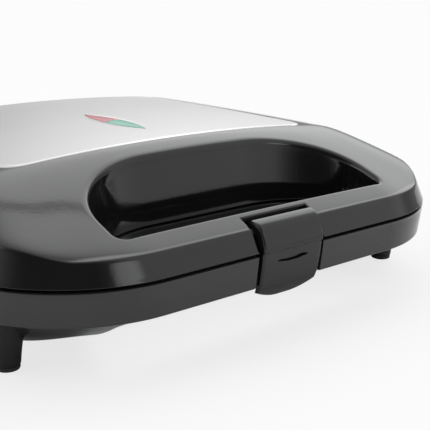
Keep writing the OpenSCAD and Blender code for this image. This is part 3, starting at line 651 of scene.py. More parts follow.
def tub_bottom(x, y):
    """Outside of the tub: upright skirt with a rounded foot, flat lip, then the belly."""
    s = sizes()
    inset = inset_of(x, y)
    radius, low = SKIRT_FILLET, -s.skirt_height
    turn = np.radians(np.linspace(0, 90, 12))
    along_edge = [0.0, *(SKIRT_DRAFT - 0.1 + radius * (1 - np.cos(turn)))]
    heights = [-HALF_GAP, *(low + radius * (1 - np.sin(turn)))]
    return np.where(inset < SKIRT_DRAFT + radius, np.interp(inset, along_edge, heights), belly(x, inset))


def tub_floor(x, y):
    """Inside of the tub."""
    s = sizes()
    inset = inset_of(x, y)
    side = -HALF_GAP - (s.skirt_height - HALF_GAP) * (inset - s.wall) / SKIRT_DRAFT
    return np.maximum(side, belly(x, inset - 0.6 * s.wall) + s.wall)


def gone_along(path):
    """Distance gone at each point of a path."""
    return np.concatenate([[0], np.cumsum(np.linalg.norm(np.diff(path, axis=0), axis=1))])


def along(path, places):
    """Points at these distances along a path of points."""
    gone = gone_along(path)
    return np.stack([np.interp(places, gone, path[:, i]) for i in range(2)], 1)


def distance_at(path, y):
    """Distance along a path at which it first reaches y."""
    return gone_along(path)[int(np.argmax(path[:, 1] >= y - 1e-6))]


def grip_path():
    """Right half of the grip's rim, from the middle of the bar round to the middle of the back."""
    front, corner = GRIP_HALF - GRIP_FRONT_RADIUS, GRIP_HALF - GRIP_CORNER
    path = [(x, GRIP_FRONT) for x in np.linspace(0, front, 20)]
    path += arc((front, GRIP_FRONT + GRIP_FRONT_RADIUS), GRIP_FRONT_RADIUS, -90, 0, 16)[1:]
    path += arc((corner, GRIP_BACK - GRIP_CORNER_DEPTH), GRIP_CORNER, 0, 90, 60, GRIP_CORNER_DEPTH)
    path += [(x, GRIP_BACK) for x in np.linspace(corner, 0, 12)[1:]]
    return np.array(path)


def grip_outline():
    """Dense points along the whole rim of the grip opening."""
    path, count = grip_path(), 450
    right = along(path, np.linspace(0, 1, count) * gone_along(path)[-1])
    return np.vstack([right, right[::-1] * [-1, 1]])


def outline_path():
    """Right half of the body's outline, from the middle of the front to the middle of the back."""
    s = sizes()
    half, depth, front, rear = s.body_width / 2, s.body_depth, s.front_radius, s.rear_radius
    path = [(x, 0.0) for x in np.linspace(0, half - front, 12)]
    path += arc((half - front, front), front, -90, 0, 70)[1:]
    path += [(half, y) for y in np.linspace(front, depth - rear, 20)[1:]]
    path += arc((half - rear, depth - rear), rear, 0, 90, 60)[1:]
    path += [(x, depth) for x in np.linspace(half - rear, 0, 12)[1:]]
    return np.array(path)


def distance_to_path(points, path):
    """Least distance from each point to a closed path."""
    best = np.full(len(points), 1e9)
    for a, b in zip(path, np.roll(path, -1, axis=0)):
        d = b - a
        size = d @ d
        if size < 1e-12:
            continue
        t = np.clip(((points - a) @ d) / size, 0, 1)
        best = np.minimum(best, np.linalg.norm(points - a - t[:, None] * d, axis=1))
    return best


def edge_normals(path, places):
    """Unit normals to the left of a path, at these distances along it."""
    step = 0.02
    total = gone_along(path)[-1]
    way = along(path, np.minimum(places + step, total)) - along(path, np.maximum(places - step, 0))
    way /= np.linalg.norm(way, axis=1)[:, None]
    return np.column_stack([-way[:, 1], way[:, 0]])


def spokes():
    """Matched points on the grip's rim and the outline, the marks that the latch slot needs, and normals.

    Each row is (rim x, y, outline x, y, in the slot, in the solid block, rim's normal x, y, outline's normal x, y)."""
    s = sizes()
    front_end = s.body_width / 2 - s.front_radius
    inner, outer = grip_path(), outline_path()
    beside = np.concatenate([[BLOCK_HALF], np.arange(23, front_end, 1.9), [front_end]])
    xs = [(x, 1, 1) for x in (0, 4, 8, 12, 14.5, 15.8, SLOT_HALF)]
    xs += [(x, 0, 1) for x in (SLOT_HALF, 16.43, 16.5, 16.62, 16.8, 17.0, 17.8, 19.4, BLOCK_HALF)]
    xs += [(x, 0, 0) for x in beside]
    right = [(x, GRIP_FRONT, x, 0.0, slot, block, 0, -1, 0, 1) for x, slot, block in xs]
    rim_marks = [front_end]
    rim_marks += [distance_at(inner, y) for y in (GRIP_BACK - GRIP_CORNER_DEPTH, GRIP_BACK)]
    rim_marks += [gone_along(inner)[-1]]
    out_marks = [front_end, front_end + s.front_radius * math.radians(56)]
    out_marks += [distance_at(outer, s.body_depth - s.rear_radius), gone_along(outer)[-1]]
    for i, count in enumerate((30, 84, 62)):
        steps = np.linspace(0, 1, count + 1)[1:]
        rim_at = rim_marks[i] + steps * (rim_marks[i + 1] - rim_marks[i])
        out_at = out_marks[i] + steps * (out_marks[i + 1] - out_marks[i])
        rim, out = along(inner, rim_at), along(outer, out_at)
        away, inwards = -edge_normals(inner, rim_at), edge_normals(outer, out_at)
        right += [(*a, *b, 0, 0, *c, *d) for a, b, c, d in zip(rim, out, away, inwards)]
    right = np.array(right)
    left = right[1:-1][::-1] * [-1, 1, -1, 1, 1, 1, -1, 1, -1, 1]
    return np.vstack([right, left])


# Steps of a shell's rings: in from the grip's rim, in from the outline, and across the inside.
RIM_STEPS = [0.0, 0.02, 0.08, 0.18, 0.32, 0.5, 0.72, 1.0, 1.35, 1.8, 2.3, 2.8, 3.3, 3.45, 3.6, 3.72, 3.82, 3.88, 3.9]
EDGE_STEPS = [8.3, 7.6, 7.1, 6.7, 6.3, 6.0, 5.7, 5.4, 5.1, 4.8, 4.5, 4.2, 3.9, 3.6, 3.2, 2.7, 2.1, 1.5, 0.9, 0.5]
INNER_SHARES = [0, 0.01, 0.02, 0.035, 0.055, 0.08, 0.12, 0.18, 0.25, 0.35, 0.5, 0.65, 0.8, 0.9, 0.96, 1]
# (share of the wall's height, distance out of the wall, lift from the parting plane) up the opening's wall
WALL_STEPS = [(0.0, 0.45, 0.0), (0.0, 0.14, 0.12), (0.0, 0.0, 0.45), (0.35, 0.0, 0.45), (0.7, 0.0, 0.45)]
WALL_STEPS += [(0.88, 0.0, 0.45)]
# (distance in from the outline, greatest height over the groove's edge) round the foot of the band
FOOT_STEPS = [(0.16, 0.5), (0.06, 0.28), (0.12, 0.1), (0.34, 0.0)]
MIDDLE_RINGS = 34  # between the steps of the rim and those of the outline


def shell(rim_steps, edge_steps, outer_z, inner_z, slot_back, lip_side, rim_fillet):
    """Closed skin of the lid (lip_side 1) or the tub (lip_side -1) as rings round the grip opening.

    Gives rings of points, indexed by ring and spoke, with the slot's spokes held behind slot_back."""
    s = sizes()
    marks = spokes()
    rim, out, from_rim, from_out = (marks[:, i : i + 2] for i in (0, 2, 6, 8))
    in_slot, in_block = marks[:, 4] > 0.5, marks[:, 5] > 0.5
    lip = lip_side * HALF_GAP
    outline = grip_outline()
    lean = WALL_LEAN * ease((from_rim[:, 1] - 0.1) / 0.8)

    def by_rim(distance):
        return rim + from_rim * distance

    def by_edge(inset):
        return out + from_out * inset

    def between(share, near, far):
        return near + (far - near) * share

    def rounded(radius, gap):
        """How far a fillet falls at a distance from its edge."""
        return radius - np.sqrt(np.maximum(radius**2 - np.maximum(radius - gap, 0) ** 2, 0))

    def surface(spot):
        flat = spot.reshape(-1, 2)
        z = outer_z(flat[:, 0], flat[:, 1])
        z = z - lip_side * rounded(rim_fillet, distance_to_path(flat, outline))
        beside = np.maximum(np.abs(flat[:, 0]) - SLOT_HALF, flat[:, 1] - slot_back)
        return z - lip_side * rounded(SLOT_FILLET, np.maximum(beside, 0))

    tops = [by_rim(d) for d in rim_steps]
    for share in np.linspace(0, 1, MIDDLE_RINGS + 2)[1:-1]:
        tops.append(between(share, by_rim(rim_steps[-1]), by_edge(edge_steps[0])))
    tops += [by_edge(d) for d in edge_steps]
    heights = surface(np.stack(tops)).reshape(len(tops), -1)
    rings = []
    for share, out_step, lift in WALL_STEPS:
        foot = lip + lip_side * lift
        spot = rim - from_rim * (lean * (1 - share))[:, None] + from_rim * out_step
        rings.append((spot, foot + (heights[0] - foot) * share))
    rings += [(spot, z) for spot, z in zip(tops, heights)]
    for back, lift in FOOT_STEPS:
        rings.append((by_edge(back), np.minimum(np.abs(heights[-1]), HALF_GAP + lift) * lip_side))
    for share in INNER_SHARES:
        spot = between(share, by_edge(s.wall), by_rim(s.wall))
        z = inner_z(spot[:, 0], spot[:, 1])
        rings.append((spot, np.where(in_block, lip, np.maximum(z * lip_side, HALF_GAP) * lip_side)))
    rings.append((by_rim(s.wall), np.full(len(rim), lip)))
    spots = np.stack([np.column_stack([spot, z]) for spot, z in rings])
    ahead = in_slot[None, :] & (spots[:, :, 1] < slot_back)
    outside = np.arange(len(rings))[:, None] < len(WALL_STEPS) + len(tops)
    step_top = outer_z(spots[0, :, 0], np.full(len(rim), slot_back)) - lip_side * SLOT_FILLET
    share = np.clip((slot_back - spots[:, :, 1]) / slot_back, 0, 1)
    wall_z = np.where(outside, step_top[None, :] + (lip - step_top[None, :]) * share, lip)
    spots[:, :, 2] = np.where(ahead, wall_z, spots[:, :, 2])
    spots[:, :, 1] = np.where(ahead, slot_back, spots[:, :, 1])
    return spots, in_slot


def shell_faces(spots, in_slot, flip):
    """Faces of a shell, with one flat face down each side of the latch slot."""
    rows, cols = spots.shape[:2]
    faces, walls = [], []
    for a in range(cols):
        b = (a + 1) % cols
        if in_slot[a] == in_slot[b]:
            continue
        held, free = (a, b) if in_slot[a] else (b, a)
        differ = [k for k in range(rows) if np.linalg.norm(spots[k, held] - spots[k, free]) > 1e-6]
        low, high = differ[0] - 1, differ[-1] + 1
        loop = [k * cols + free for k in range(low, high + 1)]
        walls.append((low, high, {a, b}, loop + [k * cols + held for k in range(high - 1, low, -1)]))
    for quad in grid_faces(rows, cols, wrap_rows=True, wrap_cols=True, flip=flip):
        ks, js = quad // cols, set((quad % cols).tolist())
        if not any(js == pair and ks.min() >= low and ks.max() <= high for low, high, pair, _ in walls):
            faces.append(list(quad))
    return merged_loops(spots.reshape(-1, 3), faces + [loop for *_, loop in walls])


def merged_loops(points, faces):
    """Drops a face's corners that lie on top of each other."""
    key = {}
    index = [key.setdefault(tuple(np.round(p, 4)), i) for i, p in enumerate(points)]
    loops = [list(dict.fromkeys(index[i] for i in face)) for face in faces]
    return [loop for loop in loops if len(loop) > 2]


def rounded_block(low, high, radius, steps=6):
    """Points and faces of a column with rounded corners between two corners in millimetres."""
    middle = [(low[i] + high[i]) / 2 for i in range(2)]
    ring = rounded_ring(middle, [(high[i] - low[i]) / 2 - radius for i in range(2)], radius, steps)
    n = len(ring)
    points = [(x, y, z) for z in (low[2], high[2]) for x, y in ring]
    faces = [list(range(n))[::-1], list(range(n, 2 * n))]
    faces += [[i, (i + 1) % n, n + (i + 1) % n, n + i] for i in range(n)]
    return points, faces


# ---------------------------------------------------------------- pieces


def build_lid_cover():
    """Lid moulding round the grip opening, with the slot for the latch."""
    s = sizes()
    inside = lambda x, y: lid_top(x, y, s.wall)
    spots, in_slot = shell(RIM_STEPS, EDGE_STEPS, lid_top, inside, SLOT_BACK, 1, s.rim_fillet)
    faces = shell_faces(spots, in_slot, False)
    piece("lid_cover", spots, faces, "gloss_lid", "lid", "lid_plastic", ["lid_shell"])


def build_tub():
    """Base moulding with its cover's seat, the ridge that the latch catches and the cord's boss."""
    rim = [d for d in RIM_STEPS if d <= 1.4] + [2.0, 3.2, 4.6, 5.6]
    turn = np.radians(np.linspace(90, 0, 12))
    edge = [8.4, 7.7, 7.2, 7.0, 6.8, 5.2, 3.4, *(SKIRT_DRAFT - 0.1 + SKIRT_FILLET * (1 - np.cos(turn))), 0.8, 0.3]
    spots, in_slot = shell(rim, edge, tub_bottom, tub_floor, CATCH_BACK, -1, CATCH_RIM_FILLET)
    faces = shell_faces(spots, in_slot, True)
    tub = piece("base_tub", spots, faces, "gloss_tub", "base", "base_plastic", ["base_shell"])
    low, high = (np.array(c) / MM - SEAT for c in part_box("bottom_cover"))
    gap, land = 0.15, 10
    recess = rounded_block(low - [gap, gap, 1], high + gap, 8 + gap)
    window = rounded_block(low + [land, land, -1], high + [-land, -land, 4], 8)
    for points, faces in (recess, window):
        cut_away(tub, add_object("cutter", new_mesh("cutter", seat(points), faces)))
    smoothed(tub.data)
    ridge = rounded_block((-10, 4.9, -7.5), (10, 7.9, -5.5), 0.3, 3)
    piece("catch_ridge", *ridge, "gloss_tub", "base", "base_plastic")
    profile = [(0.01, -4.0), (6.0, -4.0), (6.0, -0.25), (5.75, 0.0), (0.01, 0.0)]
    boss = lathe(profile, [(0, sizes().body_depth, GLAND_Z)], "y")
    piece("gland_boss", *boss, "gloss_tub", "base", "base_plastic", turn=True)


def leaf_path(grow, count):
    """Right edge of the leaf-shaped window, from its front tip to its rear tip."""
    middle = LEAF_HALF_WIDTH - LEAF_RADIUS
    reach = LEAF_RADIUS + grow
    tip = math.acos(min(1.0, -middle / reach))
    return [(middle + reach * math.cos(a), LEAF_MID + reach * math.sin(a)) for a in np.linspace(-tip, tip, count)]


def build_trim_panel():
    """Domed steel panel with a rolled edge and the leaf-shaped opening."""
    half_count, corner = 96, PLATE_HALF - PLATE_RADIUS
    outer = [(0, PLATE_FRONT), (corner, PLATE_FRONT)]
    for centre, start in ((PLATE_FRONT + PLATE_RADIUS, -90), (PLATE_BACK - PLATE_RADIUS, 0)):
        outer += arc((corner, centre), PLATE_RADIUS, start, start + 90, 16)
    outer = np.array(outer + [(0, PLATE_BACK)])
    out = along(outer, np.linspace(0, gone_along(outer)[-1], half_count))
    marks = [(*a, *b) for a, b in zip(leaf_path(0.15, half_count), out)]
    marks = np.array(marks + [(-a, b, -c, d) for a, b, c, d in marks[1:-1]][::-1])
    rim, out = marks[:, :2], marks[:, 2:]
    span = np.linalg.norm(out - rim, axis=1)
    way = (out - rim) / span[:, None]
    cut = ((0.0, -0.75), (0.0, -0.28), (0.07, -0.1), (PANEL_EDGE, 0.0))
    rolled = ((PANEL_ROLL, 0.0), (1.15, -0.02), (0.9, -0.09), (0.55, -0.26), (0.2, -0.46), (0.0, -0.62), (0.0, -0.78))
    rings = [(rim + way * d, drop) for d, drop in cut]
    for share in np.linspace(0, 1, 30)[1:-1]:
        rings.append((rim + way * (PANEL_EDGE + (span - PANEL_EDGE - PANEL_ROLL) * share)[:, None], 0.0))
    rings += [(rim + way * (span - back)[:, None], drop) for back, drop in rolled]
    spots = np.stack([np.column_stack([p, crown(p[:, 0], p[:, 1]) + PANEL_LIFT + drop]) for p, drop in rings])
    faces = grid_faces(len(rings), spots.shape[1], wrap_rows=True, wrap_cols=True)
    sharp = math.radians(55)
    piece("trim_panel", spots, faces, "brushed_trim", "lid", "trim_steel", ["trim_plate"], sharp=sharp)


def build_windows():
    """The two halves of the leaf-shaped indicator, domed above the panel."""
    half_seam, tip = 0.075, 0.02
    reach = np.linspace(0.3, LEAF_HALF_LENGTH - 0.3, 26)
    reach = np.concatenate([[half_seam], reach, [LEAF_HALF_LENGTH - tip]])
    across = np.sin(np.linspace(-1, 1, 15) * math.pi / 2)
    half = np.sqrt(LEAF_RADIUS**2 - reach**2) - (LEAF_RADIUS - LEAF_HALF_WIDTH)
    x = half[:, None] * across[None, :]
    dome = (1 - across[None, :] ** 2) * (half[:, None] / LEAF_HALF_WIDTH) ** 0.7
    end = np.clip((reach - half_seam) / 0.35, 0, 1)[:, None]
    for shade, side in (("green", -1), ("red", 1)):
        y = LEAF_MID + side * np.repeat(reach[:, None], len(across), 1)
        top = crown(x, y) + WINDOW_LIFT + WINDOW_DOME * dome - WINDOW_SEAM_FALL * (1 - end) ** 2
        high = np.stack([x, y, top], -1)
        low = np.stack([x, y, np.full_like(x, sizes().crown_height - 3.5)], -1)
        name, made = f"{shade}_window", solid_between(low, high)
        piece(name, *made, name, "lid", f"lens_{shade}", [f"{shade}_lens"], turn=True)


# The clip's side view as (height, distance behind the body's front), down its face and down its back.
LATCH_FACE = [(11.2, 6.2), (11.1, 4.6), (10.6, 3.2), (9.6, 1.9), (8.2, 0.8), (6.6, 0.0), (5.0, -0.55), (3.4, -1.0)]
LATCH_FACE += [(2.0, -1.32), (1.1, -1.46), (0.75, -1.42), (0.5, -1.2), (0.3, -0.9), (0.0, -0.72), (-3.0, -0.5)]
LATCH_FACE += [(-6.0, -0.1), (-9.0, 0.4), (-11.5, 0.9), (-12.6, 1.15), (-12.9, 1.35), (-14.5, 2.0), (-16.0, 2.8)]
LATCH_FACE += [(-17.5, 3.7), (-19.0, 4.6)]
LATCH_REAR = [(11.2, 6.6), (10.4, 8.3), (9.4, 9.2), (8.0, 9.75), (6.6, 9.8), (5.2, 9.3), (3.9, 8.2), (3.3, 6.6)]
LATCH_REAR += [(2.2, 2.6), (0.0, 1.75), (-3.0, 2.1), (-6.0, 2.5), (-8.6, 2.9), (-9.2, 4.3), (-10.6, 4.4)]
LATCH_REAR += [(-11.5, 3.4), (-14.5, 3.9), (-16.0, 4.5), (-17.5, 5.1), (-19.0, 5.7)]
LATCH_HALF, TAB_LOW, TAB_DROP = 14.9, -19.0, 3.6
SLIT_Z, SLIT_HALF, SLIT_DEPTH = -3.6, 8.2, 1.9


def side_view(profile, z):
    """Distance behind the body's front at a height on one of the clip's profiles."""
    heights, depths = np.array(profile[::-1]).T
    return np.interp(z, heights, depths)


def latch_front(x, z):
    """The clip's face with its finger slit."""
    slit = 1 - (x / SLIT_HALF) ** 2
    hollow = np.clip((slit - np.abs(z - SLIT_Z)) / 0.3, 0, 1)
    ledge = np.clip((z - SLIT_Z) / 2.0, -1, 1) * 0.5 + 0.5
    return side_view(LATCH_FACE, z) + SLIT_DEPTH * ease(hollow) * (0.6 + 0.4 * ledge)


def build_latch():
    """Snap clip: rolled head, bulged face, step, finger slit and a rounded tab below the skirt."""
    radius = (LATCH_HALF * LATCH_HALF + TAB_DROP * TAB_DROP) / (2 * TAB_DROP)
    spans = [(11.2, 1.2, 30), (1.1, -0.2, 12), (-0.5, -6.2, 26), (-6.8, -12.4, 10), (-12.6, -13.1, 4)]
    spans += [(-13.5, TAB_LOW + 0.25, 12)]  # from height, to height, rows
    side_radius, bottom_radius = 0.9, 0.5
    shares = np.concatenate([[-1, -0.99, -0.972, -0.945], np.linspace(-0.9, 0.9, 33), [0.945, 0.972, 0.99, 1]])
    edge = np.clip((np.abs(shares) - 0.94) / 0.06, 0, 1)
    front, back = [], []
    for z in np.concatenate([np.linspace(*span) for span in spans]):
        low = max(0.0, radius - (z - TAB_LOW)) if z < TAB_LOW + TAB_DROP else 0.0
        width = min(LATCH_HALF, math.sqrt(max(radius**2 - low**2, 0.04))) if low else LATCH_HALF
        x = shares * width
        bottom = np.clip((TAB_LOW + side_radius - z) / side_radius, 0, 1)
        fall = side_radius * (1 - np.sqrt(np.maximum(1 - edge**2, 0)))
        fall = fall + bottom_radius * (1 - math.sqrt(max(1 - bottom**2, 0)))
        heights = np.full_like(x, z)
        rear = side_view(LATCH_REAR, z) - 0.4 * edge**2
        front.append(np.column_stack([x, np.minimum(latch_front(x, heights) + fall, rear - 0.3), heights]))
        back.append(np.column_stack([x, rear, heights]))
    made = solid_between(np.array(back), np.array(front))
    piece("latch_clip_face", *made, "gloss_latch", "latch", "latch_plastic", ["latch_clip"], turn=True)


def soft_triangle(x, y, corners):
    """Distance inside a triangle whose corners run anticlockwise, rounded by a soft minimum."""
    sides = []
    for (ax, ay), (bx, by) in zip(corners, corners[1:] + corners[:1]):
        size = math.hypot(bx - ax, by - ay)
        sides.append(((bx - ax) * (y - ay) - (by - ay) * (x - ax)) / size)
    rounding = 5.0
    return soft_min(soft_min(sides[0], sides[1], rounding), sides[2], rounding)


def pocket_depth(x, y):
    """Depth of the sandwich pockets at a place on a cooking plate, measured from its middle."""
    depth = np.zeros(x.shape)
    pockets = ([(-40.5, 50), (-40.5, -47.5), (37.5, 50)], [(40.5, -50), (40.5, 47.5), (-37.5, -50)])
    for side in (1, -1):
        u = (x - side * POCKET_X) * side
        for corners in pockets:
            depth = np.maximum(depth, POCKET_DEEP * ease(soft_triangle(u, y, corners) / POCKET_SLOPE) ** 0.9)
    return depth


def build_cooking_plates():
    """Die-cast plates, each with four triangular pockets, a crimping ridge and a raised rim."""
    half_w, half_d, radius, wall = 98.0, 63.0, 10.0, 0.6
    land, crimp_height, crimp_pitch, crimp_inset = 0.55, 0.21, 5.0, 7
    groove_depth, groove_inset, groove_half = 0.7, 5.2, 0.9
    block_inset, block_height, rim_height = 9.0, 13.0, 2.6
    u, v = np.meshgrid(np.linspace(-1, 1, 197), np.linspace(-1, 1, 127))
    y = v * half_d
    over = np.maximum(np.abs(y) - (half_d - radius), 0)
    x = u * (half_w - radius + np.sqrt(np.maximum(radius**2 - over**2, 0)))
    depth = pocket_depth(x, y)
    edge = np.minimum(half_w - np.abs(x), half_d - np.abs(y))
    ridges = crimp_height * np.abs(np.cos(x * 2 * math.pi / crimp_pitch))
    ridges = ridges * (1 - ease(depth / 0.8)) * ease((edge - crimp_inset) / 2)
    groove = groove_depth * np.exp(-(((edge - groove_inset) / groove_half) ** 2))
    face = land + depth + ridges + groove + 0.5 * (1 - ease(edge / 0.9))
    back = np.maximum(np.where(edge > block_inset, block_height, rim_height), face + wall)
    low = np.stack([x, y + COOKING_MIDDLE, face], -1)
    high = np.stack([x, y + COOKING_MIDDLE, back], -1)
    points, faces = solid_between(low, high)
    for name, body, up in (("upper", "lid", 1), ("lower", "base", -1)):
        made = (f"{name}_cooking_plate", points * [1, 1, up], faces)
        piece(*made, "nonstick", body, "nonstick", [f"{name}_grill_plate"], turn=True)


def foot_spots(rows=FOOT_ROWS):
    return [(side * FOOT_X, y, 0) for side in (-1, 1) for y in rows]


def build_feet():
    """Tapered feet with a waist below their sockets, and their rubber pads."""
    ground, top, pad = -SEAT[2], -13.2, 1.6
    profile = [(0.01, pad), (3.9, pad), (4.35, 1.75), (4.6, 2.2), (4.75, 4), (5.1, 7), (5.55, 10), (5.9, 12.5)]
    profile = [(r, ground + z) for r, z in profile] + [(6.0, top - 3), (6.0, top), (0.01, top)]
    pads = [(0.01, 0), (3.7, 0), (4.15, 0.2), (4.35, 0.7), (4.35, pad), (0.01, pad)]
    pads = [(r, ground + z) for r, z in pads]
    for row, y in zip(("front", "rear"), FOOT_ROWS):
        made = lathe(profile, foot_spots([y]))
        piece(f"{row}_feet_pair", *made, "satin_foot", "base", "foot_plastic", [f"{row}_feet"], turn=True)
    piece("rubber_pads", *lathe(pads, foot_spots()), "rubber", "base", "pad_rubber", ["foot_pads"], turn=True)


def build_frames():
    """Inner frames round the cooking plates, with softened edges."""
    softened("lid_liner", "lid_frame", "matt_frame", "lid", 0.35)
    softened("base_liner", "base_frame", "matt_frame", "base", 0.35)


def build_hinges():
    """Hinge arms and ears with rounded edges, on bare steel pins."""
    for side in ("left", "right"):
        softened(f"{side}_lid_hinge", f"{side}_lid_arm", "satin_hinge", "lid", 0.5, 3)
        softened(f"{side}_base_hinge", f"{side}_base_ears", "satin_hinge", "base", 0.5, 3)
        kept(f"{side}_hinge_pin", "ground_steel")
    kept("latch_pin", "ground_steel")


def build_underside():
    """Bottom cover, cord bush and cord clamp, with softened edges."""
    softened("bottom_cover", "vent_cover", "matt_cover", "base", 0.25)
    softened("cord_gland", "cord_bush", "rubber", "base", 0.3, 3)
    softened("cord_clamp", "cord_clamp_block", "insulator", "base", 0.4)


def build_inner_parts():
    """Heating and wiring parts inside the shells."""
    for side, body in (("lower", "base"), ("upper", "lid")):
        softened(f"{side}_heat_shield", f"{side}_heat_pan", "sheet_aluminium", body, 0.3)
        kept(f"{side}_element", "heated_tube")
    softened("terminal_block", "terminal_body", "insulator", "base", 0.35)
    softened("thermostat", "thermostat_body", "insulator", "lid", 0.35)
    softened("lamp_holder", "lamp_tray", "insulator", "lid", 0.3)
    kept("thermal_fuse", "fuse_can")
    kept("earth_tag", "brass")
    kept("base_leads", "red_wire")
    kept("lid_leads", "red_wire")
    kept("ready_lamp", "green_lamp")
    kept("power_lamp", "red_lamp")


# ---------------------------------------------------------------- geometry nodes


class Recipe(Graph):
    """A geometry node tree with named inputs."""

    def __init__(self, name, inputs):
        super().__init__(bpy.data.node_groups.new(name, "GeometryNodeTree"))
        face = self.tree.interface
        face.new_socket("Geometry", in_out="INPUT", socket_type="NodeSocketGeometry")
        self.ids = {}
        for label, kind in inputs.items():
            made = face.new_socket(label, in_out="INPUT", socket_type=f"NodeSocket{kind}")
            self.ids[label] = made.identifier
        face.new_socket("Geometry", in_out="OUTPUT", socket_type="NodeSocketGeometry")
        self.given = self.tree.nodes.new("NodeGroupInput").outputs

    def close(self, geometry):
        """Ends the tree in Realize Instances and Set Material."""
        solid = self.add("GeometryNodeRealizeInstances", None, {"Geometry": geometry})
        values = {"Geometry": solid.outputs[0], "Material": self.given["Finish"]}
        painted = self.add("GeometryNodeSetMaterial", None, values)
        self.add("NodeGroupOutput", None, {0: painted.outputs[0]})
        return self


def screw_recipe():
    """Pan-head screws, set on points; each point carries its own turn."""
    recipe = Recipe("set screws", {"Screw": "Object", "Size": "Float", "Finish": "Material"})
    given, add = recipe.given, recipe.add
    head = add("GeometryNodeObjectInfo", {"transform_space": "ORIGINAL"}, {"Object": given["Screw"]})
    turn = add("GeometryNodeInputNamedAttribute", {"data_type": "FLOAT_VECTOR"}, {"Name": "turn"})
    rotation = add("FunctionNodeEulerToRotation", None, {"Euler": turn.outputs[0]})
    scale = add("ShaderNodeCombineXYZ", None, {axis: given["Size"] for axis in range(3)})
    values = {"Points": given["Geometry"], "Instance": head.outputs["Geometry"]}
    values.update({"Rotation": rotation.outputs[0], "Scale": scale.outputs[0]})
    return recipe.close(add("GeometryNodeInstanceOnPoints", None, values).outputs[0])


def row_recipe():
    """Copies of a small part in a straight row, set on points."""
    recipe = Recipe("row of parts", {"Part": "Object", "Count": "Int", "Spacing": "Vector", "Finish": "Material"})
    given, add = recipe.given, recipe.add
    part = add("GeometryNodeObjectInfo", {"transform_space": "ORIGINAL"}, {"Object": given["Part"]})
    values = {"Count": given["Count"], "Offset": given["Spacing"]}
    line = add("GeometryNodeMeshLine", {"mode": "OFFSET"}, values)
    values = {"Points": given["Geometry"], "Instance": line.outputs[0]}
    rows = add("GeometryNodeInstanceOnPoints", None, values)
    spots = add("GeometryNodeRealizeInstances", None, {"Geometry": rows.outputs[0]})
    values = {"Points": spots.outputs[0], "Instance": part.outputs["Geometry"]}
    return recipe.close(add("GeometryNodeInstanceOnPoints", None, values).outputs[0])


def follow(recipe, name, points, values, body, look, replaces=(), turns=None):
    """Runs a recipe on points in millimetres and keeps the result as a plain piece."""
    mesh = new_mesh(name, seat(points))
    if turns is not None:
        turned = mesh.attributes.new("turn", "FLOAT_VECTOR", "POINT")
        turned.data.foreach_set("vector", np.array(turns, np.float32).ravel())
    made = add_object(name, mesh)
    work = made.modifiers.new("build", "NODES")
    work.node_group = recipe.tree
    for label, value in {**values, "Finish": finish(look)}.items():
        work[recipe.ids[label]] = value
    baked(made)
    smoothed(made.data)
    settle(made, look, body, replaces)


def template(name, points, faces):
    """A small part at the origin, from points in millimetres, that a recipe repeats."""
    return add_object(name, smoothed(new_mesh(name, np.asarray(points, float) * MM, faces), turn=True))


def screw_template():
    """Pan head with a cross recess; the head points up and its seat is at the origin."""
    shank = 6.0
    profile = [(0.01, -shank), (1.1, -shank), (1.4, -shank + 0.4), (1.4, 0.0), (2.8, 0.0), (2.8, 0.55)]
    profile += [(2.62, 0.95), (2.15, 1.25), (1.3, 1.38), (0.01, 1.4)]
    screw = template("screw", *lathe(profile, [(0, 0, 0)], steps=28))
    for wide, deep in ((1.7, 0.42), (0.42, 1.7)):
        cut_away(screw, template("cross", *rounded_block((-wide, -deep, 0.55), (wide, deep, 2.0), 0.1, 3)))
    smoothed(screw.data)
    return screw


def build_fasteners():
    """Screws of both shells, plates, hinges, bottom cover and feet."""
    recipe, screw = screw_recipe(), screw_template()
    up, down = 0.0, math.pi
    bosses = [(side * x, y) for side in (-1, 1) for x, y in ((88, 40), (84.3, 204.5))]
    plates = [(0, 177.5), (0, 84.5), (82, COOKING_MIDDLE), (-82, COOKING_MIDDLE)]
    covers = [(x, COOKING_MIDDLE + y) for x in (-60, 60) for y in (-40, 40)]
    hinges = [(-62, 207), (62, 207)]
    feet = [(x, y) for x, y, _ in foot_spots()]
    sets = [
        ("lid_frame_screws", "lid_liner_screws", bosses, 3.0, down, "lid"),
        ("base_frame_screws", "base_liner_screws", bosses, -3.0, up, "base"),
        ("upper_plate_fixings", "upper_plate_screws", plates, 20.0, up, "lid"),
        ("lower_plate_fixings", "lower_plate_screws", plates, -20.0, down, "base"),
        ("lid_arm_screws", "lid_hinge_screws", hinges, 5.2, up, "lid"),
        ("base_ear_screws", "base_hinge_screws", hinges, -5.2, down, "base"),
        ("vent_cover_screws", "bottom_cover_screws", covers, -28.5, down, "base"),
        ("foot_fixings", "foot_screws", feet, 4.6 - SEAT[2], down, "base"),
    ]
    for index, (name, node, spots, height, way, body) in enumerate(sets):
        points = [(x, y, height) for x, y in spots]
        turns = [(way, 0.0, 0.4 + 0.83 * i + 0.37 * index) for i in range(len(points))]
        follow(recipe, name, points, {"Screw": screw, "Size": 1.0}, body, "zinc", [node], turns)
    bpy.data.objects.remove(screw)


